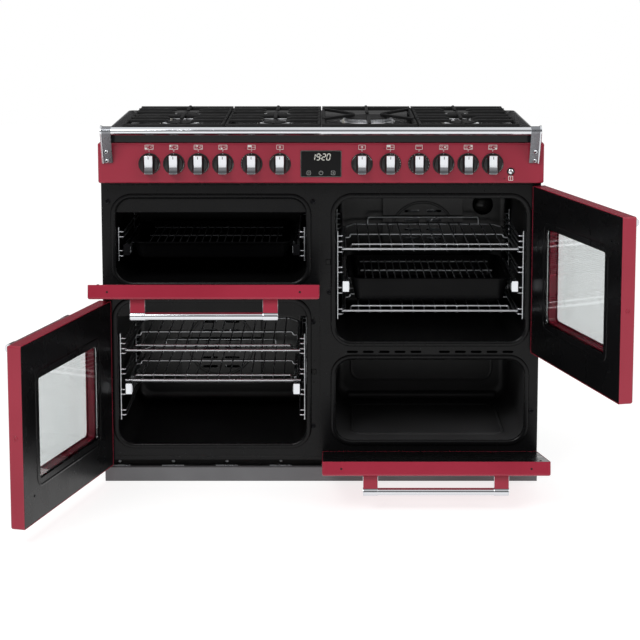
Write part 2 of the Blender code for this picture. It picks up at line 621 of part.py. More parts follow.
def build_handle(name, middle_x, top_z):
    """Round bar on two arms whose outline tapers from the door to a collar round the bar."""
    z = top_z - HANDLE_BELOW_TOP
    y = DOOR_OUTER_Y - HANDLE_STANDOFF
    half = HANDLE_SPAN / 2
    bar = bmesh.new()
    add_turned(bar, [(HANDLE_RADIUS, -half + 0.002), (HANDLE_RADIUS, half - 0.002)], 12, (middle_x, y, z), "x")
    arms = bmesh.new()
    collar = HANDLE_RADIUS + 0.0012
    face = DOOR_OUTER_Y - GAP
    for side in (-1, 1):
        ends = sorted((middle_x + side * half, middle_x + side * (half - HANDLE_ARM_WIDTH)))
        outline = [(face, z - 0.011), (face, z + 0.011)]
        for step in range(7):
            angle = math.radians(55 + 250 * step / 6)
            outline.append((y + collar * math.cos(angle), z + collar * math.sin(angle)))
        add_loft(arms, [[(x, py, pz) for py, pz in outline] for x in ends])
    return join(put(name, bar, "chrome"), put(name + "_arms_join", arms, "chrome"))


def build_door(door):
    """One door: skin, inner panel, handle and, on the tall doors, its glass, all on one hinge."""
    side, bottom, height, drop, window = DOORS[door]
    inner_x, outer_x = side * DOOR_EDGE_FROM_MIDDLE, side * (DOOR_EDGE_FROM_MIDDLE + DOOR_WIDTH)
    low = (min(inner_x, outer_x), bottom)
    high = (max(inner_x, outer_x), bottom + height)
    pieces = [build_door_skin(door + "_skin", low, high, drop, window), build_door_inner(door + "_inner", low, high, window),
              build_handle(door + "_handle", (low[0] + high[0]) / 2, high[1])]
    if window:
        pieces.append(build_door_glass(door + "_glass", low, high))
    if drop:
        place, turn = (0.0, DROP_PIVOT_Y, bottom + DROP_PIVOT_UP), (math.radians(DROP_OPEN_DEG), 0.0, 0.0)
    else:
        place, turn = (side * SIDE_PIVOT_X, SIDE_PIVOT_Y, 0.0), (0.0, 0.0, side * math.radians(SIDE_OPEN_DEG))
    pivot = hinge(door + "_hinge", place, turn)
    for piece in list(pieces):
        pieces += [modifier.object for modifier in piece.modifiers]
    for piece in pieces:
        piece.parent = pivot
        piece.location = -Vector(place)


# ---- fans ---------------------------------------------------------------------------------------
def build_fan(name, oven):
    """Convection fan on the oven's back wall: a hub, a back disc, straight blades and a shaft out through the wall."""
    place = fan_place(oven)
    disc, blades = bmesh.new(), bmesh.new()
    add_turned(disc, [(0.010, -0.004), (0.010, 0.020), (0.070, 0.021), (0.070, 0.023), (0.006, 0.024), (0.006, 0.060)], 16,
               (0, 0, 0), "y")
    for i in range(8):
        angle = math.pi / 4 * i + 0.2
        along, across = Vector((math.cos(angle), 0, math.sin(angle))), Vector((-math.sin(angle), 0, math.cos(angle)))
        corners = [along * 0.030 - across * 0.0008, along * 0.066 - across * 0.0008, along * 0.066 + across * 0.0008,
                   along * 0.030 + across * 0.0008]
        add_loft(blades, [[(p.x, y, p.z) for p in corners] for y in (0.0, 0.0215)])
    fan = join(put(name, disc, "galvanised"), put(name + "_blades_join", blades, "galvanised"))
    for piece in (fan, bpy.data.objects[name + "_blades_join"]):
        piece.location = place


# ---- assembly -----------------------------------------------------------------------------------
def clear_scene():
    for obj in list(bpy.data.objects):
        bpy.data.objects.remove(obj)


def build_ovens():
    for oven in OVENS:
        build_oven_liner(oven)
    build_ladder("grill_oven", (0.636, 0.623, 0.588, 0.575), 0.590)
    build_ladder("main_oven", (0.3635, 0.3505, 0.337, 0.325, 0.284, 0.272, 0.231, 0.2185, 0.1775, 0.165), 0.233)
    build_ladder("side_oven", (0.626, 0.612, 0.597, 0.585, 0.546, 0.533, 0.494, 0.480, 0.439, 0.426), 0.497)


def build_furniture():
    build_shelf("main_oven_upper_shelf", "main_oven", 0.3310)
    add_slides(build_shelf("main_oven_lower_shelf", "main_oven", 0.2530), -0.275, 0.233, (0.206, 0.2145), 0.2540)
    build_shelf("side_oven_upper_shelf", "side_oven", 0.5910)
    build_shelf("side_oven_lower_shelf", "side_oven", 0.4325)
    add_slides(build_pan("grill_pan", "grill_oven", 0.6095, 0.199, 0.045), -0.275, 0.590, (0.203, 0.2065), 0.6080)
    add_slides(build_pan("roasting_pan", "side_oven", 0.5165, 0.199, 0.060), 0.275, 0.497, (0.203, 0.2065), 0.5150)


def build_controls():
    build_control_panel()
    for i, x in enumerate(sorted(side * x for x in KNOB_OFFSETS for side in (-1, 1))):
        build_knob(f"knob_{i + 1:02d}", x)
    build_button()
    outline = rounded_rectangle(0.101, 0.066, 0.002, 2, (0.0, 0.8157))
    loft("clock_display", [on_xz(outline, PANEL_FRONT_Y - GAP), on_xz(outline, PANEL_FRONT_Y - 0.0025)], "glass")


def main():
    clear_scene()
    build_cabinet()
    build_plinth()
    build_front_frame()
    build_ovens()
    build_furniture()
    build_hob()
    for name in BURNERS:
        build_burner(name)
    for name in GRATES:
        build_grate(name)
    build_controls()
    build_rail()
    for door in DOORS:
        build_door(door)
    for oven in FAN_OVENS:
        build_fan(oven + "_fan", oven)


main()
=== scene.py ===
# %% [markdown]
# # A wide range cooker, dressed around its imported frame
#
# The frame holds every part of the cooker as a simple solid, in metres, with the oven doors
# open. This lesson puts finer pieces and real finishes on it: enamel, chrome, cast iron, glass.
# Sizes repeat the frame's own, so every piece lands where its solid is, and nothing is fitted by eye.

# %% Load the frame
import json
import math
import bmesh
import bpy
from mathutils import Matrix, Vector


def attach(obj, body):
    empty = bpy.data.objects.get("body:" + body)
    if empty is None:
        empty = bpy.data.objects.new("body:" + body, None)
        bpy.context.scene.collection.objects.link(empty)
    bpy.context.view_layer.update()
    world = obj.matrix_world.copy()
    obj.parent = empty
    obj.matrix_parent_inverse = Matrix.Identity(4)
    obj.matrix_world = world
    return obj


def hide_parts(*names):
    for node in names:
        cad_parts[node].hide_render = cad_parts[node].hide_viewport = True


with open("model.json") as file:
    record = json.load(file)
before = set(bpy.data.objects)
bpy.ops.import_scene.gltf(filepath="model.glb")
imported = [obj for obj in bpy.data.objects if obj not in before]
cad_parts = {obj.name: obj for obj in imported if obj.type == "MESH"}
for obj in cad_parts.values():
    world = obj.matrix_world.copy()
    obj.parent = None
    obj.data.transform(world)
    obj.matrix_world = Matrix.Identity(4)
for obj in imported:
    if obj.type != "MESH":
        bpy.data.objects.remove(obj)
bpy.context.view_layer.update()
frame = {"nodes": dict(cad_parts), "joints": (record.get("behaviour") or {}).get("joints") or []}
JOINTS = {joint["name"]: joint for joint in frame["joints"]}

# %% [markdown]
# ## Colours and nodes
#
# Paint makers give colours as hex codes, but Cycles adds light in linear values, so one function
# turns a code into linear. A second one adds a node with its settings and its links. It serves
# materials and Geometry Nodes alike, and every tree below is built with it.

# %% Colour and node helpers
def linear(code):
    """An sRGB hex code such as "932838" as linear RGBA."""
    parts = [int(code[i:i + 2], 16) / 255 for i in (0, 2, 4)]
    return (*[c / 12.92 if c <= 0.04045 else ((c + 0.055) / 1.055) ** 2.4 for c in parts], 1.0)


def add(tree, kind, inputs=None, **settings):
    """Adds one node. A socket given as an input is linked, and anything else is its value."""
    node = tree.nodes.new(kind)
    for key, value in settings.items():
        setattr(node, key, value)
    for key, value in (inputs or {}).items():
        if isinstance(value, bpy.types.NodeSocket):
            tree.links.new(value, node.inputs[key])
        else:
            node.inputs[key].default_value = value
    return node


def material(name, colour, roughness, metallic=0.0, **more):
    """A new material whose constants sit straight on its shader. Coat_Weight=1 sets Coat Weight."""
    made = bpy.data.materials.new(name)
    made.use_nodes = True
    tree = made.node_tree
    shader = tree.nodes["Principled BSDF"]
    shader.inputs["Base Color"].default_value = linear(colour)
    shader.inputs["Roughness"].default_value = roughness
    shader.inputs["Metallic"].default_value = metallic
    for key, value in more.items():
        shader.inputs[key.replace("_", " ")].default_value = value
    return made, tree, shader


def relief(tree, shader, size, height, detail=2.0, stretch=(1, 1, 1)):
    """Bumps about size mm across and height mm high, on the object's own metres."""
    place = add(tree, "ShaderNodeTexCoord").outputs["Object"]
    turned_place = add(tree, "ShaderNodeMapping", {"Vector": place, "Scale": stretch}).outputs["Vector"]
    noise = add(tree, "ShaderNodeTexNoise", {"Vector": turned_place, "Scale": 1000 / size, "Detail": detail})
    bump = add(tree, "ShaderNodeBump", {"Height": noise.outputs["Fac"], "Distance": height / 1000, "Strength": 1.0})
    tree.links.new(bump.outputs["Normal"], shader.inputs["Normal"])


def uneven(tree, shader, socket, size, low, high):
    """Lets a colour or a number of the shader drift between low and high over patches of size mm."""
    place = add(tree, "ShaderNodeTexCoord").outputs["Object"]
    noise = add(tree, "ShaderNodeTexNoise", {"Vector": place, "Scale": 1000 / size, "Detail": 3.0})
    if isinstance(low, str):
        spread = add(tree, "ShaderNodeValToRGB", {"Fac": noise.outputs["Fac"]})
        for stop, position, code in zip(spread.color_ramp.elements, (0.35, 0.65), (low, high)):
            stop.position, stop.color = position, linear(code)
        tree.links.new(spread.outputs["Color"], shader.inputs[socket])
    else:
        spread = add(tree, "ShaderNodeMapRange", {"Value": noise.outputs["Fac"], "From Min": 0.3, "From Max": 0.7,
                                                  "To Min": low, "To Max": high})
        tree.links.new(spread.outputs["Result"], shader.inputs[socket])


# %% [markdown]
# ## Enamels
#
# The doors and the fascia are steel coated with gloss enamel in deep cherry red. Glass fired on
# steel is never quite flat: it has a slow ripple a few millimetres across, which only shows where
# something bright is reflected. So the colour stays even, and a faint bump bends the reflections.
# The frame, the hob and the ovens have the same coat in black, and the ovens' has fine pale specks.

# %% Enamel materials
RED_ENAMEL, tree, shader = material("red_vitreous_enamel", "932638", 0.24, Coat_Weight=0.12, Coat_Roughness=0.05,
                                    IOR=1.5,
                                    Specular_IOR_Level=0.24)
uneven(tree, shader, "Base Color", 260, "8E2335", "98293C")
relief(tree, shader, 7, 0.012)

BLACK_ENAMEL, tree, shader = material("black_vitreous_enamel", "0D0D0E", 0.26, IOR=1.5, Specular_IOR_Level=0.17)
uneven(tree, shader, "Roughness", 90, 0.22, 0.32)
relief(tree, shader, 8, 0.005)

HOB_ENAMEL, tree, shader = material("gloss_black_hob_enamel", "08080A", 0.16, IOR=1.5, Specular_IOR_Level=0.42)
relief(tree, shader, 9, 0.015)

# The specks are real pale grains in the glass, under 1 mm across. They are drawn 1.6 mm apart.
OVEN_ENAMEL, tree, shader = material("speckled_oven_enamel", "0B0B0C", 0.30, IOR=1.5, Specular_IOR_Level=0.45)
place = add(tree, "ShaderNodeTexCoord").outputs["Object"]
cells = add(tree, "ShaderNodeTexVoronoi", {"Vector": place, "Scale": 1000 / 3.2, "Randomness": 1.0})
specks = add(tree, "ShaderNodeValToRGB", {"Fac": cells.outputs["Distance"]})
for stop, position, code in zip(specks.color_ramp.elements, (0.10, 0.22), ("2E2F31", "09090A")):
    stop.position, stop.color = position, linear(code)
tree.links.new(specks.outputs["Color"], shader.inputs["Base Color"])
relief(tree, shader, 5, 0.02)

# The slow oven's enamel is drawn a lighter grey-black than the other ovens' black. That is painted light for its lit
# floor and walls. The pans have a blacker enamel.
SLOW_OVEN_PAINTED_LIGHT_ENAMEL, tree, shader = material("plain_grey_black_enamel", "3C3C3D", 0.34, IOR=1.5, Specular_IOR_Level=0.50)
uneven(tree, shader, "Base Color", 120, "39393A", "3F3F40")
relief(tree, shader, 6, 0.015)

PAN_ENAMEL, tree, shader = material("pan_enamel", "050506", 0.42, IOR=1.5, Specular_IOR_Level=0.12)
uneven(tree, shader, "Roughness", 60, 0.38, 0.48)
relief(tree, shader, 6, 0.02)

# %% [markdown]
# ## Metals
#
# Chrome plate is a mirror with a slight cool tint. Handling leaves it a little hazy in patches, so
# its roughness drifts. Brushing draws the shine of the rail's straps out into streaks. Cast
# aluminium burner crowns and cast iron grates carry the grain of their moulds. Zinc on the runners
# and fans shows patches of spangle, the door catches are blackened and dull, and the plinth is
# powder coated, with the fine pimples of a sprayed and baked plastic.

# %% Metal materials
CHROME, tree, shader = material("polished_chrome_plate", "D6D8DC", 0.07, 1.0)
uneven(tree, shader, "Roughness", 45, 0.04, 0.13)

WIRE_CHROME, tree, shader = material("chromed_shelf_wire", "C2C4C7", 0.30, 1.0)
uneven(tree, shader, "Roughness", 30, 0.26, 0.38)

BRUSHED_STEEL, tree, shader = material("brushed_steel", "85878B", 0.30, 1.0)
uneven(tree, shader, "Roughness", 8, 0.24, 0.38)
relief(tree, shader, 1.0, 0.01, 2.0, (1, 1, 12))

CAST_ALUMINIUM, tree, shader = material("cast_aluminium", "E0E1E3", 0.36, 1.0)
uneven(tree, shader, "Roughness", 12, 0.28, 0.46)
relief(tree, shader, 1.6, 0.05)

CAST_IRON, tree, shader = material("black_enamelled_cast_iron", "080809", 0.5, Specular_IOR_Level=0.28)
uneven(tree, shader, "Roughness", 18, 0.42, 0.62)
relief(tree, shader, 2.2, 0.16, 4.0)

ZINC, tree, shader = material("zinc_plated_steel", "B4B7BA", 0.3, 1.0)
place = add(tree, "ShaderNodeTexCoord").outputs["Object"]
spangle = add(tree, "ShaderNodeTexVoronoi", {"Vector": place, "Scale": 1000 / 11})
shade = add(tree, "ShaderNodeSeparateColor", {"Color": spangle.outputs["Color"]})
patch = add(tree, "ShaderNodeMapRange", {"Value": shade.outputs["Red"], "To Min": 0.24, "To Max": 0.42})
tree.links.new(patch.outputs["Result"], shader.inputs["Roughness"])

BLACK_STEEL, tree, shader = material("blackened_steel", "202022", 0.40, 1.0)
uneven(tree, shader, "Roughness", 4, 0.34, 0.48)

POWDER_COAT, tree, shader = material("grey_powder_coat", "5E5E60", 0.5)
uneven(tree, shader, "Base Color", 150, "5A5A5C", "646466")
relief(tree, shader, 1.2, 0.05)

# %% [markdown]
# ## Plastic, glass, print and ceramic
#
# The knobs are moulded black thermoset with a fine spark-eroded grain. The window panes are clear
# float glass with a slight grey cast, and the clock has a black glass front. The marks are
# white ink, a few hundredths of a millimetre thick, with a soft edge to their gloss.

# %% Other materials
BLACK_PLASTIC, tree, shader = material("moulded_black_thermoset", "101011", 0.34)
relief(tree, shader, 0.9, 0.02)
uneven(tree, shader, "Roughness", 14, 0.30, 0.40)

# This matt black is painted shade where it stands for holes, slots, sockets, pointer notches and the foot channel's
# recess; on the frame's plugs and seam it is their own dark colour.
MATT_BLACK_AND_PAINTED_RECESS_SHADE, tree, shader = material("matt_black_recess", "050505", 0.85)
relief(tree, shader, 1.5, 0.05)

CLEAR_GLASS, tree, shader = material("grey_float_glass", "F7F9F9", 0.0, Transmission_Weight=1.0, IOR=1.45)
uneven(tree, shader, "Base Color", 200, "F5F8F8", "F8FAFA")

CLOCK_GLASS, tree, shader = material("black_clock_glass", "0A0A0B", 0.10, Specular_IOR_Level=0.14)
relief(tree, shader, 60, 0.01)

PRINT, tree, shader = material("white_screen_ink", "DEDEDA", 0.5)
uneven(tree, shader, "Base Color", 6, "D6D6D2", "E4E4E1")

GREY_PRINT, tree, shader = material("grey_screen_ink", "8E8E8C", 0.5)
uneven(tree, shader, "Base Color", 6, "868684", "949492")

DIGIT_GLOW, tree, shader = material("lit_clock_segments", "C8C8C0", 0.4, Emission_Strength=0.35)
shader.inputs["Emission Color"].default_value = linear("D4D4CA")
uneven(tree, shader, "Base Color", 4, "C2C2BA", "CECEC6")

CERAMIC, tree, shader = material("white_spark_ceramic", "E6E3DA", 0.35, Coat_Weight=0.4)
uneven(tree, shader, "Base Color", 5, "DEDACF", "ECE9E0")

# The lamp glass is clear; its dark tint is painted shade for the unlit lamp and housing behind it.
LAMP_GLASS_WITH_PAINTED_SHADE, tree, shader = material("ribbed_lamp_glass", "2E2E2C", 0.16, Transmission_Weight=0.3, IOR=1.5,
                                    Specular_IOR_Level=0.3)
relief(tree, shader, 4, 0.2)

print(len(bpy.data.materials), "materials with the frame's own")

# %% [markdown]
# ## Shapes in mesh code
#
# Almost every pressed or turned part is a row of rings with a skin between them, which is a loft.
# A tray, a bead round an oven's mouth, a pan and a knob differ only in their rings. Ends are closed,
# or the last ring joins the first, so every shell is shut and its faces can be turned outwards.

# %% Ring helpers
def rounded_rectangle(width, height, radius, steps=8, centre=(0.0, 0.0)):
    """2-D points round a rectangle with round corners, anticlockwise."""
    points = []
    for quarter, (sx, sy) in enumerate(((1, 1), (-1, 1), (-1, -1), (1, -1))):
        middle = (centre[0] + sx * (width / 2 - radius), centre[1] + sy * (height / 2 - radius))
        for step in range(steps + 1):
            angle = math.pi / 2 * (quarter + step / steps)
            points.append((middle[0] + radius * math.cos(angle), middle[1] + radius * math.sin(angle)))
    return points


def circle(radius, sides=32, centre=(0.0, 0.0)):
    turn = 2 * math.pi / sides
    return [(centre[0] + radius * math.cos(turn * i), centre[1] + radius * math.sin(turn * i)) for i in range(sides)]


def on_xz(outline, y):
    return [(u, y, v) for u, v in outline]


def on_xy(outline, z):
    return [(u, v, z) for u, v in outline]


def on_yz(outline, x):
    return [(x, u, v) for u, v in outline]


def closed_mesh(bm):
    """Merges doubles, turns the faces outwards and hands over a mesh."""
    bmesh.ops.remove_doubles(bm, verts=bm.verts, dist=1e-6)
    bmesh.ops.recalc_face_normals(bm, faces=bm.faces)
    mesh = bpy.data.meshes.new("part")
    bm.to_mesh(mesh)
    bm.free()
    return mesh


def lofted(rings, loop=False):
    """Skins a row of rings. The ends are capped, or with loop the last ring meets the first."""
    bm = bmesh.new()
    loops = [[bm.verts.new(point) for point in ring] for ring in rings]
    for near, far in zip(loops, loops[1:] + (loops[:1] if loop else [])):
        for i in range(len(near)):
            j = (i + 1) % len(near)
            bm.faces.new((near[i], near[j], far[j], far[i]))
    if not loop:
        bm.faces.new(list(reversed(loops[0])))
        bm.faces.new(loops[-1])
    return closed_mesh(bm)


def turned(profile, place, along="y", sides=40):
    """A turned solid. The profile is (radius, reach along the axis) from the axis's start at place."""
    rings = []
    for radius, reach in profile:
        flat = circle(max(radius, 1e-4), sides)
        if along == "z":
            rings.append([(place[0] + u, place[1] + v, place[2] + reach) for u, v in flat])
        elif along == "y":
            rings.append([(place[0] + u, place[1] + reach, place[2] + v) for u, v in flat])
        else:
            rings.append([(place[0] + reach, place[1] + u, place[2] + v) for u, v in flat])
    return lofted(rings)


def block(low, high, edge=0.001, corner=None, along="y", steps=3):
    """A rounded block: a rounded rectangle pushed along one axis, with its end edges eased."""
    corner = corner or edge
    order = {"y": (0, 2, 1, on_xz), "z": (0, 1, 2, on_xy), "x": (1, 2, 0, on_yz)}[along]
    a, b, c, lift = order
    centre = ((low[a] + high[a]) / 2, (low[b] + high[b]) / 2)
    width, height = high[a] - low[a], high[b] - low[b]
    rings = []
    for step in range(steps + 1):
        angle = math.pi / 2 * step / steps
        inset, reach = edge * (1 - math.sin(angle)), edge * (1 - math.cos(angle))
        rings.append((inset, low[c] + reach))
    rings += [(inset, low[c] + high[c] - reach) for inset, reach in reversed(rings)]
    return lofted([lift(rounded_rectangle(width - 2 * inset, height - 2 * inset, max(corner - inset, 2e-4), steps,
                                          centre),
                        reach) for inset, reach in rings])


def bead(width, height, corner, centre, profile, lift=on_xz, steps=10):
    """A moulding that runs round a rounded rectangle. The profile is (outwards, along the axis)."""
    return lofted([lift(rounded_rectangle(width + 2 * out, height + 2 * out, max(corner + out, 1e-3), steps, centre),
                        reach)
                   for out, reach in profile], loop=True)


# %% [markdown]
# ## Pieces
#
# A finished piece is one object with one finish. It sits at the origin with its place in its mesh,
# rides on the body it belongs to, and hides the solids it stands for. Door
# pieces are easier to draw on a shut door, so a function gives the turn that opens it to its rest.

# %% Make a piece
def link_up(name, data):
    """A new object in the scene."""
    made = bpy.data.objects.new(name, data)
    bpy.context.scene.collection.objects.link(made)
    return made


def piece(name, body, finish, meshes, replaces=(), move=None, crease=38):
    """Joins closed meshes into one object that rides on a body."""
    bm = bmesh.new()
    for part in meshes:
        bm.from_mesh(part)
        bpy.data.meshes.remove(part)
    if move is not None:
        bmesh.ops.transform(bm, matrix=move, verts=bm.verts)
    mesh = bpy.data.meshes.new(name)
    bm.to_mesh(mesh)
    bm.free()
    mesh.materials.clear()
    mesh.materials.append(finish)
    mesh.polygons.foreach_set("material_index", [0] * len(mesh.polygons))
    mesh.shade_smooth()
    mesh.set_sharp_from_angle(angle=math.radians(crease))
    made = link_up(name, mesh)
    even = made.modifiers.new("flat_faces_stay_flat", "WEIGHTED_NORMAL")
    even.keep_sharp, even.weight = True, 70
    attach(made, body)
    if replaces:
        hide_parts(*replaces)
    print(name, len(mesh.polygons), "faces on", body)
    return made


def opened(joint_name):
    """The turn that carries a piece from its shut place to the frame's rest, which is open."""
    joint = JOINTS[joint_name]
    place = Matrix.Translation(Vector(joint["pos_m"]))
    return place @ Matrix.Rotation(math.radians(-joint["range_deg"][0]), 4, Vector(joint["axis"])) @ place.inverted()


def copied(part, offsets):
    """A few copies of a mesh at offsets, where a whole node tree would be more than it needs."""
    bm = bmesh.new()
    for offset in offsets:
        start = len(bm.verts)
        bm.from_mesh(part)
        bm.verts.ensure_lookup_table()
        bmesh.ops.translate(bm, vec=Vector(offset), verts=bm.verts[start:])
    bpy.data.meshes.remove(part)
    mesh = bpy.data.meshes.new("copies")
    bm.to_mesh(mesh)
    bm.free()
    return mesh


# %% [markdown]
# ## Three node trees for what repeats
#
# Wires, screws, slots and dial marks repeat or follow a path, so Geometry Nodes make them. The first
# tree turns every run of edges into a round wire with bends of a given radius. The second puts a
# part on every point. The third sets a part round a dial, starting at a given angle. Their
# results are read back as plain meshes, because only plain meshes are exported.

# %% Node trees
def new_tree(name, **inputs):
    """An empty Geometry Nodes tree with named inputs, and its two end nodes."""
    tree = bpy.data.node_groups.new(name, "GeometryNodeTree")
    tree.interface.new_socket("Geometry", in_out="INPUT", socket_type="NodeSocketGeometry")
    tree.interface.new_socket("Geometry", in_out="OUTPUT", socket_type="NodeSocketGeometry")
    for label, kind in inputs.items():
        tree.interface.new_socket(label, in_out="INPUT", socket_type="NodeSocket" + kind)
    return tree, add(tree, "NodeGroupInput").outputs


def end_tree(tree, geometry, finish):
    """Every tree ends in real geometry with its material set."""
    real = add(tree, "GeometryNodeRealizeInstances", {"Geometry": geometry})
    done = add(tree, "GeometryNodeSetMaterial", {"Geometry": real.outputs["Geometry"], "Material": finish})
    add(tree, "NodeGroupOutput", {"Geometry": done.outputs["Geometry"]})


WIRES, given = new_tree("round_wires", Radius="Float", Bend="Float", Sides="Int", Finish="Material")
runs = add(WIRES, "GeometryNodeMeshToCurve", {"Mesh": given["Geometry"]})
bent = add(WIRES, "GeometryNodeFilletCurve", {"Curve": runs.outputs["Curve"], "Count": 5, "Radius": given["Bend"],
                                              "Limit Radius": True}, mode="POLY")
section = add(WIRES, "GeometryNodeCurvePrimitiveCircle", {"Resolution": given["Sides"], "Radius": given["Radius"]})
drawn = add(WIRES, "GeometryNodeCurveToMesh",
            {"Curve": bent.outputs["Curve"], "Profile Curve": section.outputs["Curve"],
                                               "Fill Caps": True})
end_tree(WIRES, drawn.outputs["Mesh"], given["Finish"])

COPIES, given = new_tree("part_on_points", Part="Object", Finish="Material")
part = add(COPIES, "GeometryNodeObjectInfo", {"Object": given["Part"]})
placed = add(COPIES, "GeometryNodeInstanceOnPoints",
             {"Points": given["Geometry"], "Instance": part.outputs["Geometry"]})
end_tree(COPIES, placed.outputs["Instances"], given["Finish"])

DIAL, given = new_tree("part_round_dial", Part="Object", Count="Int", Radius="Float", First="Float", Step="Float",
                       Finish="Material")
line = add(DIAL, "GeometryNodeMeshLine", {"Count": given["Count"], "Offset": (0.0, 0.0, 0.0)})
index = add(DIAL, "GeometryNodeInputIndex").outputs["Index"]
angle = add(DIAL, "ShaderNodeMath", {0: index, 1: given["Step"], 2: given["First"]},
            operation="MULTIPLY_ADD").outputs[0]
across = add(DIAL, "ShaderNodeMath", {0: angle}, operation="SINE").outputs[0]
upward = add(DIAL, "ShaderNodeMath", {0: angle}, operation="COSINE").outputs[0]
direction = add(DIAL, "ShaderNodeCombineXYZ", {"X": across, "Z": upward}).outputs[0]
spot = add(DIAL, "ShaderNodeVectorMath", {0: direction, "Scale": given["Radius"]}, operation="SCALE").outputs[0]
spread = add(DIAL, "GeometryNodeSetPosition", {"Geometry": line.outputs["Mesh"], "Position": spot}).outputs["Geometry"]
turn = add(DIAL, "ShaderNodeCombineXYZ", {"Y": angle}).outputs[0]
mark = add(DIAL, "GeometryNodeObjectInfo", {"Object": given["Part"]}).outputs["Geometry"]
set_round = add(DIAL, "GeometryNodeInstanceOnPoints", {"Points": spread, "Instance": mark, "Rotation": turn})
end_tree(DIAL, set_round.outputs["Instances"], given["Finish"])


# %% Run a tree and read its mesh
def grown(tree, points, edges=(), part=None, **values):
    """Runs a tree over points and edges and returns a plain mesh. A part mesh becomes its Part."""
    seed = bpy.data.meshes.new("seed")
    seed.from_pydata([Vector(point) for point in points], list(edges), [])
    holder = link_up("holder", seed)
    helper = link_up("helper", part) if part else None
    if helper:
        values["Part"] = helper
    modifier = holder.modifiers.new("grow", "NODES")
    modifier.node_group = tree
    for item in tree.interface.items_tree:
        if item.item_type == "SOCKET" and item.in_out == "INPUT" and item.name in values:
            modifier[item.identifier] = values[item.name]
    bpy.context.view_layer.update()
    result = bpy.data.meshes.new_from_object(holder.evaluated_get(bpy.context.evaluated_depsgraph_get()))
    holder.modifiers.remove(modifier)
    for used in (holder, helper):
        if used:
            spent = used.data
            bpy.data.objects.remove(used)
            bpy.data.meshes.remove(spent)
    bm = bmesh.new()
    bm.from_mesh(result)
    bpy.data.meshes.remove(result)
    return closed_mesh(bm)


def wires(paths, radius, bend=0.006, sides=12, finish=None):
    """Round wires along a list of paths, each a list of points."""
    points, edges = [], []
    for path in paths:
        edges += [(len(points) + i, len(points) + i + 1) for i in range(len(path) - 1)]
        points += path
    return grown(WIRES, points, edges, Radius=radius, Bend=bend, Sides=sides, Finish=finish or WIRE_CHROME)


def on_points(part, points, finish):
    return grown(COPIES, points, part=part, Finish=finish)


def round_dial(part, count, radius, first, step, finish):
    """Marks round a dial seen from the front. Angles are degrees clockwise from the top."""
    return grown(DIAL, [(0, 0, 0)], part=part, Count=count, Radius=radius, First=math.radians(first),
                 Step=math.radians(step), Finish=finish)


def moved(mesh, offset=(0, 0, 0), turn=None):
    """Carries a mesh to its place, and returns it."""
    mesh.transform(Matrix.Translation(Vector(offset)) @ (turn or Matrix.Identity(4)))
    return mesh


def carve(mesh, cutters):
    """Cuts holes: the exact Boolean is run here and its result kept as a plain mesh."""
    body, knife = link_up("body", mesh), link_up("knife", cutters)
    modifier = body.modifiers.new("cut", "BOOLEAN")
    modifier.operation, modifier.object, modifier.solver = "DIFFERENCE", knife, "EXACT"
    bpy.context.view_layer.update()
    result = bpy.data.meshes.new_from_object(body.evaluated_get(bpy.context.evaluated_depsgraph_get()))
    for used in (body, knife):
        spent = used.data
        bpy.data.objects.remove(used)
        bpy.data.meshes.remove(spent)
    return result


# %% [markdown]
# ## The cooker's own sizes, in metres
#
# They repeat the frame's: each oven is its centre and the heights of its floor and roof, and the
# front of the steel frame is the plane y = 0.

# %% Sizes
OVENS = {"grill": (-0.275, 0.512, 0.723), "main": (-0.275, 0.096, 0.460),
         "side": (0.275, 0.360, 0.724), "slow": (0.275, 0.104, 0.313)}
OVEN_WIDTH, OVEN_CORNER, OVEN_FRONT, OVEN_BACK = 0.476, 0.040, 0.0033, 0.4433
SHEET = 0.002
PANEL_HALF, PANEL_LOW, PANEL_HIGH, PANEL_FACE = 0.550, 0.767, 0.867, -0.040
KNOB_Z = 0.8155
KNOB_REACHES = (0.101, 0.171, 0.2415, 0.302, 0.3625, 0.423)      # from the middle, the same on both sides
KNOB_XS = [-x for x in reversed(KNOB_REACHES)] + list(KNOB_REACHES)
RUNNER_REACH = 0.2335                                            # from an oven's middle to its ladders and runners
HOB_FLOOR, GRATE_TOP = 0.885, 0.908

# %% [markdown]
# ## Cabinet, plinth and front frame
#
# The side sheets, the plinth and the pierced front plate are flat pressings, and their solids
# already have the right shape, so they only get their finishes. The pressed bead round each oven's
# mouth stiffens the plate and is the face that the door closes on. It is a half-round moulding
# lofted round the mouth.

# %% Finishes on the solids that stay
for node, finish in (("cabinet_shell", BLACK_ENAMEL), ("plinth", POWDER_COAT), ("front_frame", BLACK_ENAMEL),
                     ("main_door_glass", CLEAR_GLASS), ("side_door_glass", CLEAR_GLASS),
                     ("main_oven_fan", ZINC), ("side_oven_fan", ZINC)):
    frame["nodes"][node].data.materials.clear()
    frame["nodes"][node].data.materials.append(finish)
print("solids with new finishes:", sum(1 for node in frame["nodes"].values() if node.data.materials))

# %% Beads and deflectors at the mouths
BEAD = [(0.0006, 0.0020), (0.0004, -0.0022), (0.0022, -0.0044), (0.0065, -0.0054), (0.0108, -0.0044), (0.0126, -0.0016),
        (0.0130, 0.0004)]
beads = [bead(OVEN_WIDTH, top - low, OVEN_CORNER, (x, (low + top) / 2), BEAD) for x, low, top in OVENS.values()]
piece("mouth_beads", "cabinet", BLACK_ENAMEL, beads)

deflectors = []
for oven in ("grill", "main"):
    x, low, top = OVENS[oven]
    inner = rounded_rectangle(OVEN_WIDTH - 0.002, top - low - 0.002, OVEN_CORNER, 10, (x, (low + top) / 2))
    upper = [(u, max(v, top - 0.036)) for u, v in inner]
    rolled = [(u, max(v, top - 0.033)) for u, v in inner]
    deflectors.append(lofted([on_xz(rolled, 0.0050), on_xz(upper, 0.0062), on_xz(upper, 0.0072),
                              on_xz(rolled, 0.0084)]))
piece("heat_deflectors", "cabinet", BLACK_ENAMEL, deflectors)
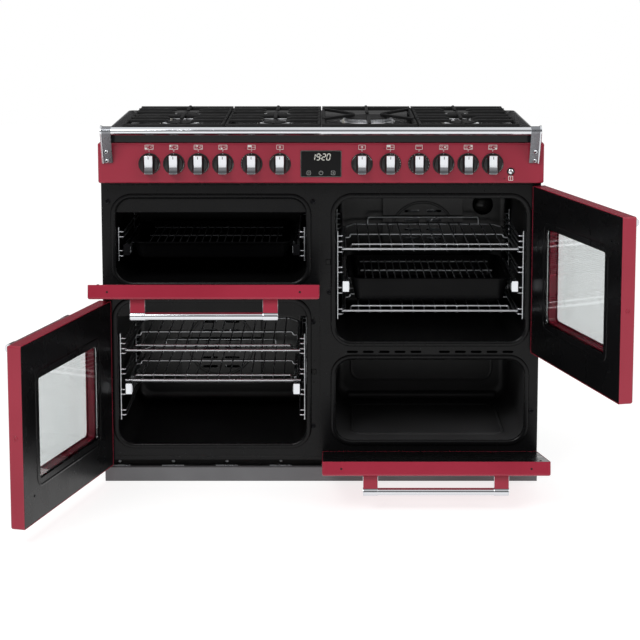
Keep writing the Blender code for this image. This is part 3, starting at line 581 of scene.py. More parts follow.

# %% [markdown]
# ## Small parts on the front plate
#
# A cooling slot runs across the plate just under the fascia, with a thin bridge every 33 mm. There
# are press-fit plugs along the top, ringed catches that hold the doors, square latch holes with
# their rivets, and at the foot a folded lip over a recessed channel with bright screws. Each kind
# is one part, set on a list of points.

# %% Slots, plugs, catches and foot channel
# The cooling slots and latch holes are matt black blocks on the plate, painted shade for their open depth.
slot = block((-0.0148, -0.0010, -0.0018), (0.0148, 0.0006, 0.0018), 0.0004, 0.0016)
vents = on_points(slot, [(0.033 * (i - 15.5), 0, 0.7583) for i in range(32)], MATT_BLACK_AND_PAINTED_RECESS_SHADE)
long_slots = [block((low, -0.0012, 0.0606), (high, 0.0006, 0.0642), 0.0004, 0.0017)
              for low, high in ((-0.517, -0.290), (-0.261, -0.049), (0.049, 0.261), (0.290, 0.517))]
holes = [block((x - 0.0050, -0.0012, z - 0.0060), (x + 0.0050, 0.0006, z + 0.0060), 0.0004, 0.0012)
         for x, z in ((0.018, 0.563), (-0.018, 0.282))]
dot = turned([(0, -0.0009), (0.0016, -0.0009), (0.0020, -0.0004), (0.0020, 0.0006), (0, 0.0006)], (0, 0, 0), sides=12)
dots = on_points(dot, [(x, 0, 0.7435) for x in (-0.532, -0.409, -0.147, -0.021, 0.013, 0.147, 0.408, 0.532)]
                 + [(0.0175, 0, z) for z in (0.536, 0.590, 0.680)] + [(-0.0175, 0, z) for z in (0.255, 0.309, 0.420)]
                 + [(-0.276, 0, 0.0765)], MATT_BLACK_AND_PAINTED_RECESS_SHADE)
seam = block((-0.0034, -0.0007, 0.078), (-0.0024, 0.0006, 0.744), 0.0002, 0.0004)
piece("frame_slots", "cabinet", MATT_BLACK_AND_PAINTED_RECESS_SHADE, [vents, *long_slots, *holes, dots, seam])

CATCHES = [(-0.532, 0, 0.716), (-0.0205, 0, 0.716), (-0.0205, 0, 0.410), (-0.0205, 0, 0.142), (0.0205, 0, 0.486),
           (0.532, 0, 0.180)]
ring = turned([(0.0030, -0.0003), (0.0030, -0.0026), (0.0048, -0.0034), (0.0064, -0.0022), (0.0066, 0.0004),
               (0.0030, 0.0004)], (0, 0, 0), sides=28)
pin = turned([(0, -0.0042), (0.0015, -0.0040), (0.0022, -0.0030), (0.0022, 0.0004), (0, 0.0004)], (0, 0, 0), sides=16)
piece("door_catches", "cabinet", BLACK_STEEL,
      [on_points(ring, CATCHES, BLACK_STEEL), on_points(pin, CATCHES, BLACK_STEEL)])

# The channel's walls are matt black, painted shade that deepens the recess under the lip.
channel = lofted([[(x, y, z) for y, z in ((0.0030, 0.0360), (0.0300, 0.0360), (0.0300, 0.0617), (0.0030, 0.0617),
                                          (0.0030, 0.0525), (0.0170, 0.0520), (0.0170, 0.0376), (0.0030, 0.0370))]
                  for x in (-0.546, 0.546)])
piece("foot_lip", "cabinet", BLACK_ENAMEL,
      [block((-0.5475, 0.0001, 0.0528), (0.5475, 0.0032, 0.0618), 0.0006)])
piece("foot_channel", "cabinet", MATT_BLACK_AND_PAINTED_RECESS_SHADE, [channel])
screw = turned([(0, -0.0026), (0.0022, -0.0024), (0.0040, -0.0012), (0.0044, 0.0), (0.0044, 0.0012), (0, 0.0012)],
               (0, 0, 0), sides=20)
screw_xs = [-0.514 + 0.137 * i for i in range(4)] + [0.514 - 0.137 * i for i in range(4)]
screws = on_points(screw, [(x, 0.0165, 0.0445) for x in screw_xs], ZINC)
lips = on_points(block((-0.028, -0.0006, -0.0010), (0.028, 0.0010, 0.0010), 0.0003),
                 [(x, 0.0030, 0.0372) for x in screw_xs], ZINC)
piece("channel_screws", "cabinet", ZINC, [screws, lips])

# %% [markdown]
# ## Sides and back
#
# Nobody sees the back of a cooker in a kitchen, but a fitter does: rows of louvres let warm air
# out, flanged edges are held by screws, and the gas pipe enters low down. The louvres are one
# pressed hood on points.

# %% Back panel and side screws
hood = lofted([[(-0.034, 0.0, -0.004), (0.034, 0.0, -0.004), (0.034, 0.0, 0.004), (-0.034, 0.0, 0.004)],
               [(-0.033, 0.0022, -0.0035), (0.033, 0.0022, -0.0035), (0.033, 0.0010, 0.0035), (-0.033, 0.0010, 0.0035)],
               [(-0.030, 0.0036, -0.0030), (0.030, 0.0036, -0.0030), (0.030, 0.0012, 0.0020),
                (-0.030, 0.0012, 0.0020)]])
louvres = on_points(hood, [(x, 0.5578, z) for x in (-0.34, -0.255, 0.255, 0.34)
                           for z in [0.58 + 0.016 * i for i in range(9)]], BLACK_ENAMEL)
cover = block((-0.150, 0.5575, 0.250), (0.150, 0.5610, 0.520), 0.0015, 0.010)
edges = [block((x - 0.008, 0.5575, 0.060), (x + 0.008, 0.5592, 0.850), 0.0007) for x in (-0.536, 0.536)]
piece("back_panel_pressings", "cabinet", BLACK_ENAMEL, [louvres, cover, *edges])
back_screw = turned([(0, 0.0024), (0.0022, 0.0022), (0.0042, 0.0008), (0.0044, -0.0008), (0, -0.0008)], (0, 0, 0),
                    sides=16)
back_spots = ([(x, 0.5592, z) for x in (-0.536, 0.536) for z in (0.10, 0.24, 0.38, 0.52, 0.66, 0.80)]
              + [(x, 0.5610, z) for x in (-0.140, 0, 0.140) for z in (0.262, 0.508)])
inlet = turned([(0.0105, 0.0), (0.0135, 0.0), (0.0135, 0.004), (0.0100, 0.0045), (0.0100, 0.0085), (0.0065, 0.0090),
                (0.0060, 0.0)], (0.430, 0.5575, 0.800), sides=6)
piece("back_screws_and_gas_inlet", "cabinet", ZINC, [on_points(back_screw, back_spots, ZINC), inlet])
side_screw = [turned([(0, -0.0016), (0.0030, -0.0013), (0.0042, 0.0), (0, 0.0004)], (0, 0, 0), "x", 16),
              turned([(0, 0.0016), (0.0030, 0.0013), (0.0042, 0.0), (0, -0.0004)], (0, 0, 0), "x", 16)]
side_spots = [(y, z) for y in (0.020, 0.270, 0.540) for z in (0.080, 0.845)]
piece("side_panel_screws", "cabinet", ZINC,
      [on_points(part, [(x, y, z) for y, z in side_spots], ZINC) for part, x in zip(side_screw, (-0.548, 0.548))])

# %% [markdown]
# ## Oven boxes
#
# Each oven is a drawn steel box with round corners and a rounded back edge, so that it wipes
# clean. It is lofted as one closed wall: inside rings going back, the back wall, and outside
# rings coming forward again. The slow oven's enamel is drawn lighter than the others, which is
# painted light on its floor and walls. It has a bead pressed into its floor and
# its back, and a rounded cove where they meet.

# %% Oven boxes
def oven_box(oven):
    x, low, top = OVENS[oven]
    middle, width, height = (x, (low + top) / 2), OVEN_WIDTH, top - low

    def wall(grow, front, back):
        rings = [on_xz(rounded_rectangle(width + 2 * grow, height + 2 * grow, OVEN_CORNER + grow, 10, middle), front)]
        for step in range(9):
            turn = math.pi / 2 * step / 8
            inset = 0.026 * (1 - math.cos(turn))
            rings.append(on_xz(rounded_rectangle(width + 2 * grow - 2 * inset, height + 2 * grow - 2 * inset,
                                                 OVEN_CORNER + grow - 0.6 * inset, 10, middle),
                               back - 0.026 * (1 - math.sin(turn))))
        return rings

    inside, outside = wall(0.0, OVEN_FRONT, OVEN_BACK - SHEET), wall(SHEET, OVEN_FRONT, OVEN_BACK)
    return lofted(list(reversed(inside)) + outside)


# The slow oven's box gets the lightened enamel, painted light for its lit floor and walls.
for oven in OVENS:
    piece(oven + "_oven_box", "cabinet", SLOW_OVEN_PAINTED_LIGHT_ENAMEL if oven == "slow" else OVEN_ENAMEL,
          [oven_box(oven)],
          [oven + "_oven_liner"])
# The slow oven's beads and cove use the same lightened enamel, painted light.
floor_panel = bead(0.380, 0.300, 0.030, (0.275, 0.215), [(0.0, 0.1038), (0.0, 0.1056), (0.004, 0.1070), (0.008, 0.1056),
                                                        (0.008, 0.1038)], on_xy)
cove = turned([(0, -0.205), (0.0110, -0.203), (0.0120, -0.198), (0.0120, 0.198), (0.0110, 0.203), (0, 0.205)],
              (0.275, 0.4300, 0.1150), "x", 32)
back_bead = bead(0.380, 0.110, 0.026, (0.275, 0.215), [(0.0, 0.4418), (0.0, 0.4402), (0.004, 0.4388), (0.008, 0.4402),
                                                       (0.008, 0.4418)])
piece("slow_oven_beads", "cabinet", SLOW_OVEN_PAINTED_LIGHT_ENAMEL, [floor_panel, cove, back_bead])

# %% [markdown]
# ## Fan covers and oven lamp
#
# A cover in front of each fan draws air in through the middle and keeps hands off the blades. It
# is an enamelled plate with two columns of slots, cut right through, and a pressed ring. The lamp
# sits behind a domed, ribbed glass, which an enamelled ring holds to the back wall. The glass is
# tinted dark, painted shade for the unlit lamp behind it.

# %% Fan covers, element rings and lamp
for oven, centre_z, low, high in (("main", 0.264, 0.150, 0.372), ("side", 0.570, 0.448, 0.686)):
    x = OVENS[oven][0]
    plate = block((x - 0.109, 0.4035, low), (x + 0.109, 0.4052, high), 0.0007, 0.016, steps=6)
    slot = block((-0.0205, -0.01, -0.0035), (0.0205, 0.01, 0.0035), 0.0005, 0.0034)
    plate = carve(plate, copied(slot, [(x + side * 0.030, 0.4044, centre_z + 0.0125 + 0.025 * (row - 3))
                                       for side in (-1, 1) for row in range(6)]))
    ring = lofted([on_xz(circle(radius, 64, (x, centre_z)), y) for radius, y in
                   ((0.083, 0.4038), (0.084, 0.4024), (0.087, 0.4016), (0.090, 0.4024), (0.091, 0.4038))], loop=True)
    sides = bead(0.206, high - low - 0.012, 0.012, (x, (low + high) / 2),
                 [(0.0, 0.4045), (0.0010, 0.4045), (0.0010, 0.4400), (0.0, 0.4400)], steps=5)
    piece(oven + "_fan_cover", "cabinet", OVEN_ENAMEL, [plate, ring, sides])
    heater = lofted([[(x + radius * math.cos(math.pi / 24 * i), 0.4300 + drop,
                       centre_z + radius * math.sin(math.pi / 24 * i))
                      for i in range(48)] for radius, drop in
                     [(0.083 + 0.0032 * math.cos(math.pi / 4 * k),
                       0.0032 * math.sin(math.pi / 4 * k)) for k in range(8)]],
                    loop=True)
    piece(oven + "_ring_element", "cabinet", POWDER_COAT, [heater])
lamp_ring = turned([(0.0235, 0.0), (0.0280, 0.0), (0.0280, -0.0035), (0.0255, -0.0060), (0.0235, -0.0035)],
                   (0.440, 0.4412, 0.645), sides=48)
# The glass's dark tint is painted shade for the unlit lamp behind it.
lamp_glass = turned([(0.0240, 0.0), (0.0240, -0.0030), (0.0200, -0.0085), (0.0120, -0.0115), (0.0, -0.0125)],
                    (0.440, 0.4410, 0.645), sides=48)
piece("oven_lamp_ring", "cabinet", OVEN_ENAMEL, [lamp_ring])
piece("oven_lamp_glass", "cabinet", LAMP_GLASS_WITH_PAINTED_SHADE, [lamp_glass])

# %% [markdown]
# ## Side wires and runners
#
# The chromed ladders that carry the shelves are bent wire: two uprights a side, and rungs that
# turn back to them. The wire tree gives every bend its radius. The telescopic runners' fixed rails
# are zinc-plated channel.

# %% Side wires
LADDERS = {"grill": ((0.636, 0.623, 0.588, 0.575), 0.590),
           "main": ((0.3635, 0.3505, 0.337, 0.325, 0.284, 0.272, 0.231, 0.2185, 0.1775, 0.165), 0.233),
           "side": ((0.626, 0.612, 0.597, 0.585, 0.546, 0.533, 0.494, 0.480, 0.439, 0.426), 0.497)}
for oven, (rungs, runner_z) in LADDERS.items():
    x, reach = OVENS[oven][0], RUNNER_REACH
    uprights, runs, rails = [], [], []
    for side in (-1, 1):
        outer, inner = x + side * reach, x + side * (reach - 0.013)
        uprights += [[(outer, y, min(rungs) - 0.012), (outer, y, max(rungs) + 0.012)] for y in (0.020, 0.400)]
        runs += [[(outer, 0.020, z), (inner, 0.020, z), (inner, 0.400, z), (outer, 0.400, z)] for z in rungs]
        near, far = sorted((x + side * (reach - 0.0125), x + side * (reach - 0.0185)))
        rails.append(block((near, 0.026, runner_z - 0.012), (far, 0.390, runner_z + 0.012), 0.0012, 0.0022))
    link = [[(x - reach, 0.401, min(rungs) - 0.006), (x + reach, 0.401, min(rungs) - 0.006)]]
    piece(oven + "_ladder_wires", "cabinet", WIRE_CHROME,
          [wires(uprights, 0.0022), wires(runs + link, 0.0020, 0.005, 10)], [oven + "_oven_side_wires"])
    piece(oven + "_runner_rails", "cabinet", ZINC, rails)

# %% [markdown]
# ## Shelves
#
# A shelf is a heavy front bar, an outer frame, cross bars, and fine wires from front to back that
# dip under the front bar. Behind stands a low rail that stops a dish from touching the back. All
# of it is wire, so all of it comes from paths. A shelf or pan on telescopic runners carries their
# sliding members, and each member's front end is closed by a square cap.

# %% Shelves
def shelf_wires(x, z, rail):
    half, front, back, rise = 0.2225, 0.030, 0.395, 0.0095
    heavy = [[(x - half, front, z), (x + half, front, z)]]
    frame_bars = [[(x - 0.200, front + 0.003, z), (x - 0.200, front + 0.016, z + rise),
                   (x + 0.200, front + 0.016, z + rise),
                   (x + 0.200, front + 0.003, z)],
                  [(x - half + 0.0085, front, z), (x - half + 0.0085, back - 0.010, z),
                   (x - half + 0.035, back, z + 0.007),
                   (x + half - 0.035, back, z + 0.007), (x + half - 0.0085, back - 0.010, z),
                   (x + half - 0.0085, front, z)],
                  [(x - half + 0.0085, 0.2125, z), (x - 0.200, 0.2125, z), (x - 0.200, 0.2125, z + rise - 0.001),
                   (x + 0.200, 0.2125, z + rise - 0.001), (x + 0.200, 0.2125, z), (x + half - 0.0085, 0.2125, z)],
                  [(x - 0.150, back, z + 0.006), (x - 0.150, back, z + rail), (x + 0.150, back, z + rail),
                   (x + 0.150, back, z + 0.006)]]
    fine = []
    for i in range(14):
        across = x + (i - 6.5) * 0.0277
        fine.append([(across, front - 0.001, z - 0.0040), (across, front + 0.008, z + 0.003),
                     (across, front + 0.018, z + rise),
                     (across, back - 0.004, z + rise), (across, back, z + 0.0065)])
    return [wires(heavy, 0.0033, 0, 14), wires(frame_bars, 0.0026, 0.006, 10), wires(fine, 0.0018, 0.006, 8)]


def slides(x, z, post, under):
    """The runners' sliding members with their posts, and the bright end caps on their fronts."""
    members, ends = [], []
    for side in (-1, 1):
        left, right = sorted((x + side * (RUNNER_REACH - 0.0195), x + side * (RUNNER_REACH - 0.0345)))
        near, far = sorted((x + side * post[0], x + side * post[1]))
        inner, outer = sorted((x + side * 0.2045, x + side * 0.2210))
        members += [block((left + 0.004, 0.0165, z - 0.009), (right - 0.004, 0.380, z + 0.010), 0.0010, 0.0020),
                    block((near, 0.080, z + 0.006), (far, 0.100, under), 0.0006)]
        ends.append(block((inner, 0.0115, z - 0.0125), (outer, 0.0170, z + 0.0150), 0.0008, 0.0016, steps=4))
    return members, ends


for oven, level, z in (("main", "upper", 0.331), ("main", "lower", 0.253),
                       ("side", "upper", 0.591), ("side", "lower", 0.4325)):
    node = f"{oven}_oven_{level}_shelf"
    rail = 0.0205 if node == "side_oven_lower_shelf" else 0.026     # the roasting pan hangs low over this one
    piece(f"{oven}_{level}_shelf_wires", node + "_body", WIRE_CHROME, shelf_wires(OVENS[oven][0], z, rail),
          [node])
members, ends = slides(-0.275, 0.233, (0.206, 0.2145), 0.2515)
piece("main_lower_shelf_slides", "main_oven_lower_shelf_body", ZINC, members)
piece("main_lower_shelf_slide_ends", "main_oven_lower_shelf_body", CHROME, ends)

# %% [markdown]
# ## Pans
#
# Both pans are deep-drawn and enamelled, with a rolled rim. The trivet inside lifts the food out
# of the fat: fine wires across two bearers.

# %% Pans and trivets
def pan_shell(x, rim, half, depth):
    front, back, wall = 0.034, 0.385, 0.0015
    middle = (x, (front + back) / 2)
    levels = [(-depth + wall, -0.020), (-depth + wall + 0.002, -0.0155), (-depth + 0.007, -0.0115),
              (-depth + 0.016, -0.0095),
              (-0.004, -wall), (-0.0012, -wall + 0.0006), (-0.0002, 0.0012), (0.0, 0.0034), (-0.0002, 0.0064),
              (-0.0014, 0.0078), (-0.0030, 0.0076), (-0.0034, 0.0062), (-0.0020, 0.0050), (-0.0018, 0.0020),
              (-0.0036, 0.0002), (-depth + 0.016, -0.0080), (-depth + 0.006, -0.0100), (-depth + 0.001, -0.0145),
              (-depth, -0.020)]
    return lofted([on_xy(rounded_rectangle(2 * half + 2 * grow, back - front + 2 * grow, 0.030 + grow, 8, middle),
                         rim + z)
                   for z, grow in levels])


def trivet(x, z, half):
    bearers = [[(x - half, y, z), (x + half, y, z)] for y in (0.075, 0.210, 0.345)]
    lines = [[(x + (i - 8.5) * 0.019, 0.056, z - 0.004), (x + (i - 8.5) * 0.019, 0.060, z + 0.0035),
              (x + (i - 8.5) * 0.019, 0.360, z + 0.0035), (x + (i - 8.5) * 0.019, 0.364, z - 0.004)] for i in range(18)]
    return [wires(bearers, 0.0024, 0, 10), wires(lines, 0.0016, 0.003, 8)]


for node, name, x, rim, depth, runner_z, post, under in (
        ("grill_pan", "grill", -0.275, 0.6095, 0.045, 0.590, (0.203, 0.2065), 0.6080),
        ("roasting_pan", "roasting", 0.275, 0.5165, 0.060, 0.497, (0.203, 0.2065), 0.5150)):
    members, ends = slides(x, runner_z, post, under)
    piece(name + "_pan_shell", node + "_body", PAN_ENAMEL, [pan_shell(x, rim, 0.199, depth)], [node])
    piece(name + "_pan_slides", node + "_body", ZINC, members)
    # The grill pan's end caps are the same chromed caps as the roasting pan's. Blackened steel on them is painted shade
    # for the dark grill oven they reflect.
    piece(name + "_pan_slide_ends", node + "_body", BLACK_STEEL if name == "grill" else CHROME, ends)
    piece(name + "_trivet", node + "_body", WIRE_CHROME, trivet(x, rim - 0.013, 0.172))

# %% [markdown]
# ## Hob
#
# The hob is one drawn pan in gloss enamel with a raised rim, and a shallow dish is pressed round
# each burner to hold spills.

# %% Hob pan
HOB_MIDDLE, HOB_WIDTH, HOB_DEPTH = (0.0, 0.2595), 1.072, 0.587


def hob_ring(z, inset, corner=0.014):
    return on_xy(rounded_rectangle(HOB_WIDTH - 2 * inset, HOB_DEPTH - 2 * inset, max(corner - inset, 0.004), 6,
                                   HOB_MIDDLE), z)


hob = lofted([hob_ring(0.8835, 0.0030), hob_ring(0.8685, 0.0016), hob_ring(0.8685, 0.0), hob_ring(0.8895, 0.0),
              hob_ring(0.8916, 0.0008), hob_ring(0.8928, 0.0024), hob_ring(0.8932, 0.0050), hob_ring(0.8930, 0.0090),
              hob_ring(0.8918, 0.0130, 0.020), hob_ring(0.8888, 0.0180, 0.026), hob_ring(0.8862, 0.0225, 0.032),
              hob_ring(0.8852, 0.0270, 0.038), hob_ring(0.8850, 0.0330, 0.044)])
BURNERS = {"front_left": (-0.3620, 0.180, 0.046), "rear_left": (-0.3620, 0.412, 0.036),
           "front_centre": (-0.1195, 0.180, 0.038), "rear_centre": (-0.1195, 0.412, 0.036),
           "wok": (0.1220, 0.315, 0.064), "front_right": (0.3620, 0.180, 0.044), "rear_right": (0.3620, 0.412, 0.030)}
dishes = [turned([(radius + 0.012, 0.0), (radius + 0.014, 0.0007), (radius + 0.018, 0.0009), (radius + 0.022, 0.0006),
                  (radius + 0.024, 0.0), (radius + 0.024, -0.0004), (radius + 0.012, -0.0004)], (x, y, HOB_FLOOR), "z",
                 64)
          for x, y, radius in BURNERS.values()]
piece("hob_pan", "cabinet", HOB_ENAMEL, [hob, *dishes], ["hob_tray"])

# %% [markdown]
# ## Burners
#
# A burner is an aluminium crown with a ring of flame ports under a black enamelled cap. A white
# ceramic spark plug and a thermocouple stand beside it. The port walls are one small block set
# round the crown by the dial tree, which is then laid flat.

# %% Burners
FLAT = Matrix.Rotation(-math.pi / 2, 4, "X")
for name, (x, y, radius) in BURNERS.items():
    floor = HOB_FLOOR + 0.0002
    crown = turned([(0, 0.0), (radius + 0.0095, 0.0), (radius + 0.0100, 0.0012), (radius + 0.0085, 0.0022),
                    (radius * 0.96, 0.0034), (radius * 0.95, 0.0046), (radius * 1.02, 0.0058), (radius * 1.02, 0.0066),
                    (radius * 0.92, 0.0074), (radius * 0.92, 0.0102), (0, 0.0102)], (x, y, floor), "z", 64)
    count = round(radius * 1000 * 0.85)
    tooth = block((-0.0013, -0.0018, radius * 0.88), (0.0013, 0.0018, radius * 1.01), 0.0003)
    teeth = moved(round_dial(tooth, count, 0.0, 0, 360 / count, CAST_ALUMINIUM), (x, y, floor + 0.0088), FLAT)
    piece(f"burner_crown_{name}", "cabinet", CAST_ALUMINIUM, [crown, teeth], [f"burner_{name}"])
    if name == "wok":
        cap = turned([(0.036, 0.0104), (0.060, 0.0104), (0.0615, 0.0112), (0.0605, 0.0128), (0.0560, 0.0140),
                      (0.0400, 0.0140), (0.0360, 0.0128)], (x, y, floor), "z", 64)
        inner = turned([(0, 0.0104), (0.0245, 0.0104), (0.0258, 0.0112), (0.0250, 0.0128), (0.0200, 0.0142),
                        (0, 0.0146)],
                       (x, y, floor), "z", 48)
        caps = [cap, inner]
        ring = turned([(0.0262, 0.0100), (0.0300, 0.0100), (0.0300, 0.0124), (0.0262, 0.0124)], (x, y, floor), "z", 48)
        piece("wok_inner_crown", "cabinet", CAST_ALUMINIUM, [ring])
    else:
        caps = [turned([(0, 0.0104), (radius * 0.72, 0.0104), (radius * 0.76, 0.0112), (radius * 0.75, 0.0126),
                        (radius * 0.68, 0.0138), (radius * 0.4, 0.0145), (0, 0.0148)], (x, y, floor), "z", 64)]
    piece(f"burner_cap_{name}", "cabinet", CAST_IRON, caps)
sparks, probes = [], []
for name, (x, y, radius) in BURNERS.items():
    for turn, group in ((math.radians(215), sparks), (math.radians(325), probes)):
        spot = (x + (radius + 0.0145) * math.cos(turn), y + (radius + 0.0145) * math.sin(turn), HOB_FLOOR)
        group.append(turned([(0, 0.0), (0.0034, 0.0), (0.0034, 0.0075), (0.0022, 0.0090), (0.0010, 0.0095),
                             (0.0010, 0.0130),
                             (0, 0.0134)], spot, "z", 16))
piece("spark_plugs", "cabinet", CERAMIC, sparks)
piece("thermocouples", "cabinet", CAST_ALUMINIUM, probes)

# %% [markdown]
# ## Pan supports
#
# The grates are cast iron under black enamel. A cast bar is wider at its foot than at its crown,
# so that it leaves the mould, and its edges are soft. Every bar is one loft along a line with that
# section, and its toe slopes down.

# %% Pan supports
def cast_bar(start, end, top, height=0.0075, width=0.009, toe=0.0):
    """A cast bar between two points in plan. A toe lowers the end by that much."""
    a, b = Vector((*start, 0)), Vector((*end, 0))
    along = (b - a).normalized()
    across = along.cross(Vector((0, 0, 1)))
    section = [(-0.50, 0.0), (-0.47, 0.55), (-0.40, 0.86), (-0.22, 1.0), (0.22, 1.0), (0.40, 0.86), (0.47, 0.55),
               (0.50, 0.0)]
    length = (b - a).length
    stations = [(0.0, 0.0, 0.84), (0.0012, 0.0, 1.0), (length - min(0.012, length / 3), 0.0, 1.0),
                (length - 0.0015, toe, 0.94), (length, toe + 0.0012, 0.74)]
    return lofted([[tuple(a + along * reach + across * (u * width * size)
                          + Vector((0, 0, top - height + v * (height - drop))))
                    for u, v in section] for reach, drop, size in stations])


GRATES = {"grate_left": (-0.4970, -0.2425, -0.3620), "grate_centre_left": (-0.2410, -0.0010, -0.1195),
          "grate_wok": (0.0010, 0.2430, 0.1220), "grate_right": (0.2445, 0.4970, 0.3620)}
for node, (left, right, x) in GRATES.items():
    front, back, inset = 0.040, 0.535, 0.0045
    bars = [cast_bar((left + 0.0005, y), (right - 0.0005, y), GRATE_TOP - 0.002, 0.011)
            for y in (front + inset, back - inset)]
    bars += [cast_bar((edge, front + 0.001), (edge, back - 0.001), GRATE_TOP - 0.0025, 0.0105)
             for edge in (left + inset, right - inset)]
    feet = [lofted([on_xy(rounded_rectangle(2 * w, 2 * d, 0.0022, 3, (edge, y)), z) for w, d, z in
                    ((0.0030, 0.0050, 0.8853), (0.0036, 0.0056, 0.8862), (0.0044, 0.0062, 0.8960),
                     (0.0042, 0.0075, 0.9030))])
            for edge in (left + inset, right - inset) for y in (front + 0.02, back - 0.02)]
    if node == "grate_wok":
        fingers = [cast_bar((edge, start), (toe, end), GRATE_TOP, toe=0.002)
                   for edge, toe in ((left + 0.004, x - 0.036), (right - 0.004, x + 0.036))
                   for start, end in ((0.185, 0.303), (0.465, 0.327))]
        fingers += [cast_bar((x, 0.042), (x, 0.270), GRATE_TOP + 0.0004, 0.008, toe=0.002),
                    cast_bar((x, 0.533), (x, 0.360), GRATE_TOP + 0.0004, 0.008, toe=0.002)]
    else:
        fingers = [cast_bar((left + 0.002, 0.296), (right - 0.002, 0.296), GRATE_TOP - 0.001, 0.0115)]
        fingers += [cast_bar((edge, centre + offset), (toe, centre + offset), GRATE_TOP, toe=0.002)
                    for centre in (0.180, 0.412) for offset in (-0.036, 0.036)
                    for edge, toe in ((left + 0.002, x - 0.030), (right - 0.002, x + 0.030))]
        fingers += [cast_bar((x, start), (x, end), GRATE_TOP + 0.0004, 0.008, toe=0.002) for start, end in
                    ((0.042, 0.156), (0.296, 0.204), (0.296, 0.388), (0.533, 0.436))]
    piece(node + "_casting", "cabinet", CAST_IRON, [*bars, *feet, *fingers], [node])

# %% [markdown]
# ## Fascia
#
# The fascia is a folded enamel tray as wide as the cooker, and its front edges are rolled over a
# few millimetres. Round each control the enamel carries small white pictograms: a plan of the hob
# with one burner filled in, or an oven with its element marked.

# %% Fascia panel
def panel_ring(y, inset, corner=0.005):
    return on_xz(rounded_rectangle(2 * PANEL_HALF - 2 * inset, PANEL_HIGH - PANEL_LOW - 2 * inset, corner, 6,
                                   (0.0, (PANEL_LOW + PANEL_HIGH) / 2)), y)


fascia = lofted([panel_ring(PANEL_FACE + 0.0030, 0.0030), panel_ring(-0.001, 0.0015), panel_ring(-0.001, 0.0),
                 panel_ring(PANEL_FACE + 0.0042, 0.0), panel_ring(PANEL_FACE + 0.0022, 0.0004),
                 panel_ring(PANEL_FACE + 0.0008, 0.0014), panel_ring(PANEL_FACE + 0.0001, 0.0030),
                 panel_ring(PANEL_FACE, 0.0050)])
piece("fascia", "cabinet", RED_ENAMEL, [fascia], ["control_panel"])

# %% Pictograms above the controls
INK_BACK, INK_FACE = PANEL_FACE + 0.0004, PANEL_FACE - 0.0003      # the ink is sunk a little, so that it never floats


def ink_bar(u0, v0, u1, v1):
    """A flat printed bar between two opposite corners on the fascia's face."""
    return block((u0, INK_FACE, v0), (u1, INK_BACK, v1), 0.00012)


def ink_frame(u, v, width, height, line=0.0011):
    return bead(width - 2 * line, height - 2 * line, 0.0003, (u, v),
                [(0.0, INK_BACK), (0.0, INK_FACE), (line, INK_FACE), (line, INK_BACK)], steps=3)


def ink_disc(u, v, radius):
    return turned([(0, 0.0004), (radius, 0.0004), (radius, -0.0003), (0, -0.0003)], (u, PANEL_FACE, v), sides=16)


BURNER_CELLS = [(-0.0078, -0.0028), (-0.0078, 0.0028), (-0.0026, 0.0028), (-0.0026, -0.0028), (0.0030, 0.0),
                (0.0080, 0.0028),
                (0.0080, -0.0028)]
GAS_KNOBS = {0: 0, 1: 1, 2: 2, 3: 3, 9: 4, 10: 5, 11: 6}      # knob: the burner cell filled in
marks = []
for knob, x in enumerate(KNOB_XS):
    top = 0.8565
    if knob in GAS_KNOBS:
        marks += [ink_frame(x, top, 0.0215, 0.0118, 0.0009)]
        marks += [ink_bar(x + u, top - 0.0052, x + u + 0.0005, top + 0.0052) for u in (-0.0054, 0.0052)]
        marks += [ink_disc(x + u, top + v, 0.0022 if cell == GAS_KNOBS[knob] else 0.0010)
                  for cell, (u, v) in enumerate(BURNER_CELLS)]
    elif knob in (4, 7):
        marks += [ink_frame(x, top, 0.0190, 0.0118, 0.0009), ink_bar(x - 0.0084, top + 0.0002, x, top + 0.0050),
                  ink_bar(x - 0.0004, top - 0.0052, x + 0.0004, top + 0.0052),
                  ink_bar(x, top - 0.0004, x + 0.0088, top + 0.0004)]
    elif knob in (5, 6):
        marks += [ink_frame(x, top, 0.0170, 0.0118, 0.0009), ink_frame(x, top, 0.0050, 0.0050, 0.0008),
                  ink_disc(x, top, 0.0009)]
    else:
        marks += [ink_frame(x, top, 0.0170, 0.0118, 0.0009),
                  ink_bar(x - 0.0066, top + 0.0024, x + 0.0066, top + 0.0036)]
    marks.append(lofted([[(x - 0.0016, y, 0.8483), (x + 0.0016, y, 0.8483), (x, y, 0.8458)]
                         for y in (INK_BACK, INK_FACE)]))
x, z = 0.468, 0.7795
marks += [ink_frame(x, z, 0.0115, 0.0115), ink_bar(x - 0.0008, z - 0.0012, x + 0.0008, z + 0.0034),
          ink_disc(x, z - 0.0030, 0.0010)]
piece("fascia_pictograms", "cabinet", PRINT, marks)
# The pinholes are matt black discs, painted shade for the holes.
piece("fascia_pinholes", "cabinet", MATT_BLACK_AND_PAINTED_RECESS_SHADE,
      [ink_disc(0.4530, 0.7790, 0.0015), *[ink_disc(KNOB_XS[knob] - 0.0155, 0.8540, 0.0014) for knob in (4, 7)]])

# %% [markdown]
# ## Clock
#
# The clock is a black glass plate in a slim frame, with leaning seven-segment digits and three grey
# touch marks. A digit is a set of hexagonal bars, chosen from seven by a table of which are lit.

# %% Clock
CLOCK_Z, CLOCK_FACE = 0.8157, -0.0425
glass = lofted([on_xz(rounded_rectangle(0.101 - 2 * inset, 0.066 - 2 * inset, 0.0022, 4, (0.0, CLOCK_Z)), y)
                for inset, y in
                ((0.0, PANEL_FACE - 0.0003), (0.0, CLOCK_FACE + 0.0006), (0.0006, CLOCK_FACE))])
piece("clock_glass", "cabinet", CLOCK_GLASS, [glass], ["clock_display"])
CLOCK_BACK, CLOCK_INK = CLOCK_FACE + 0.0003, CLOCK_FACE - 0.0002


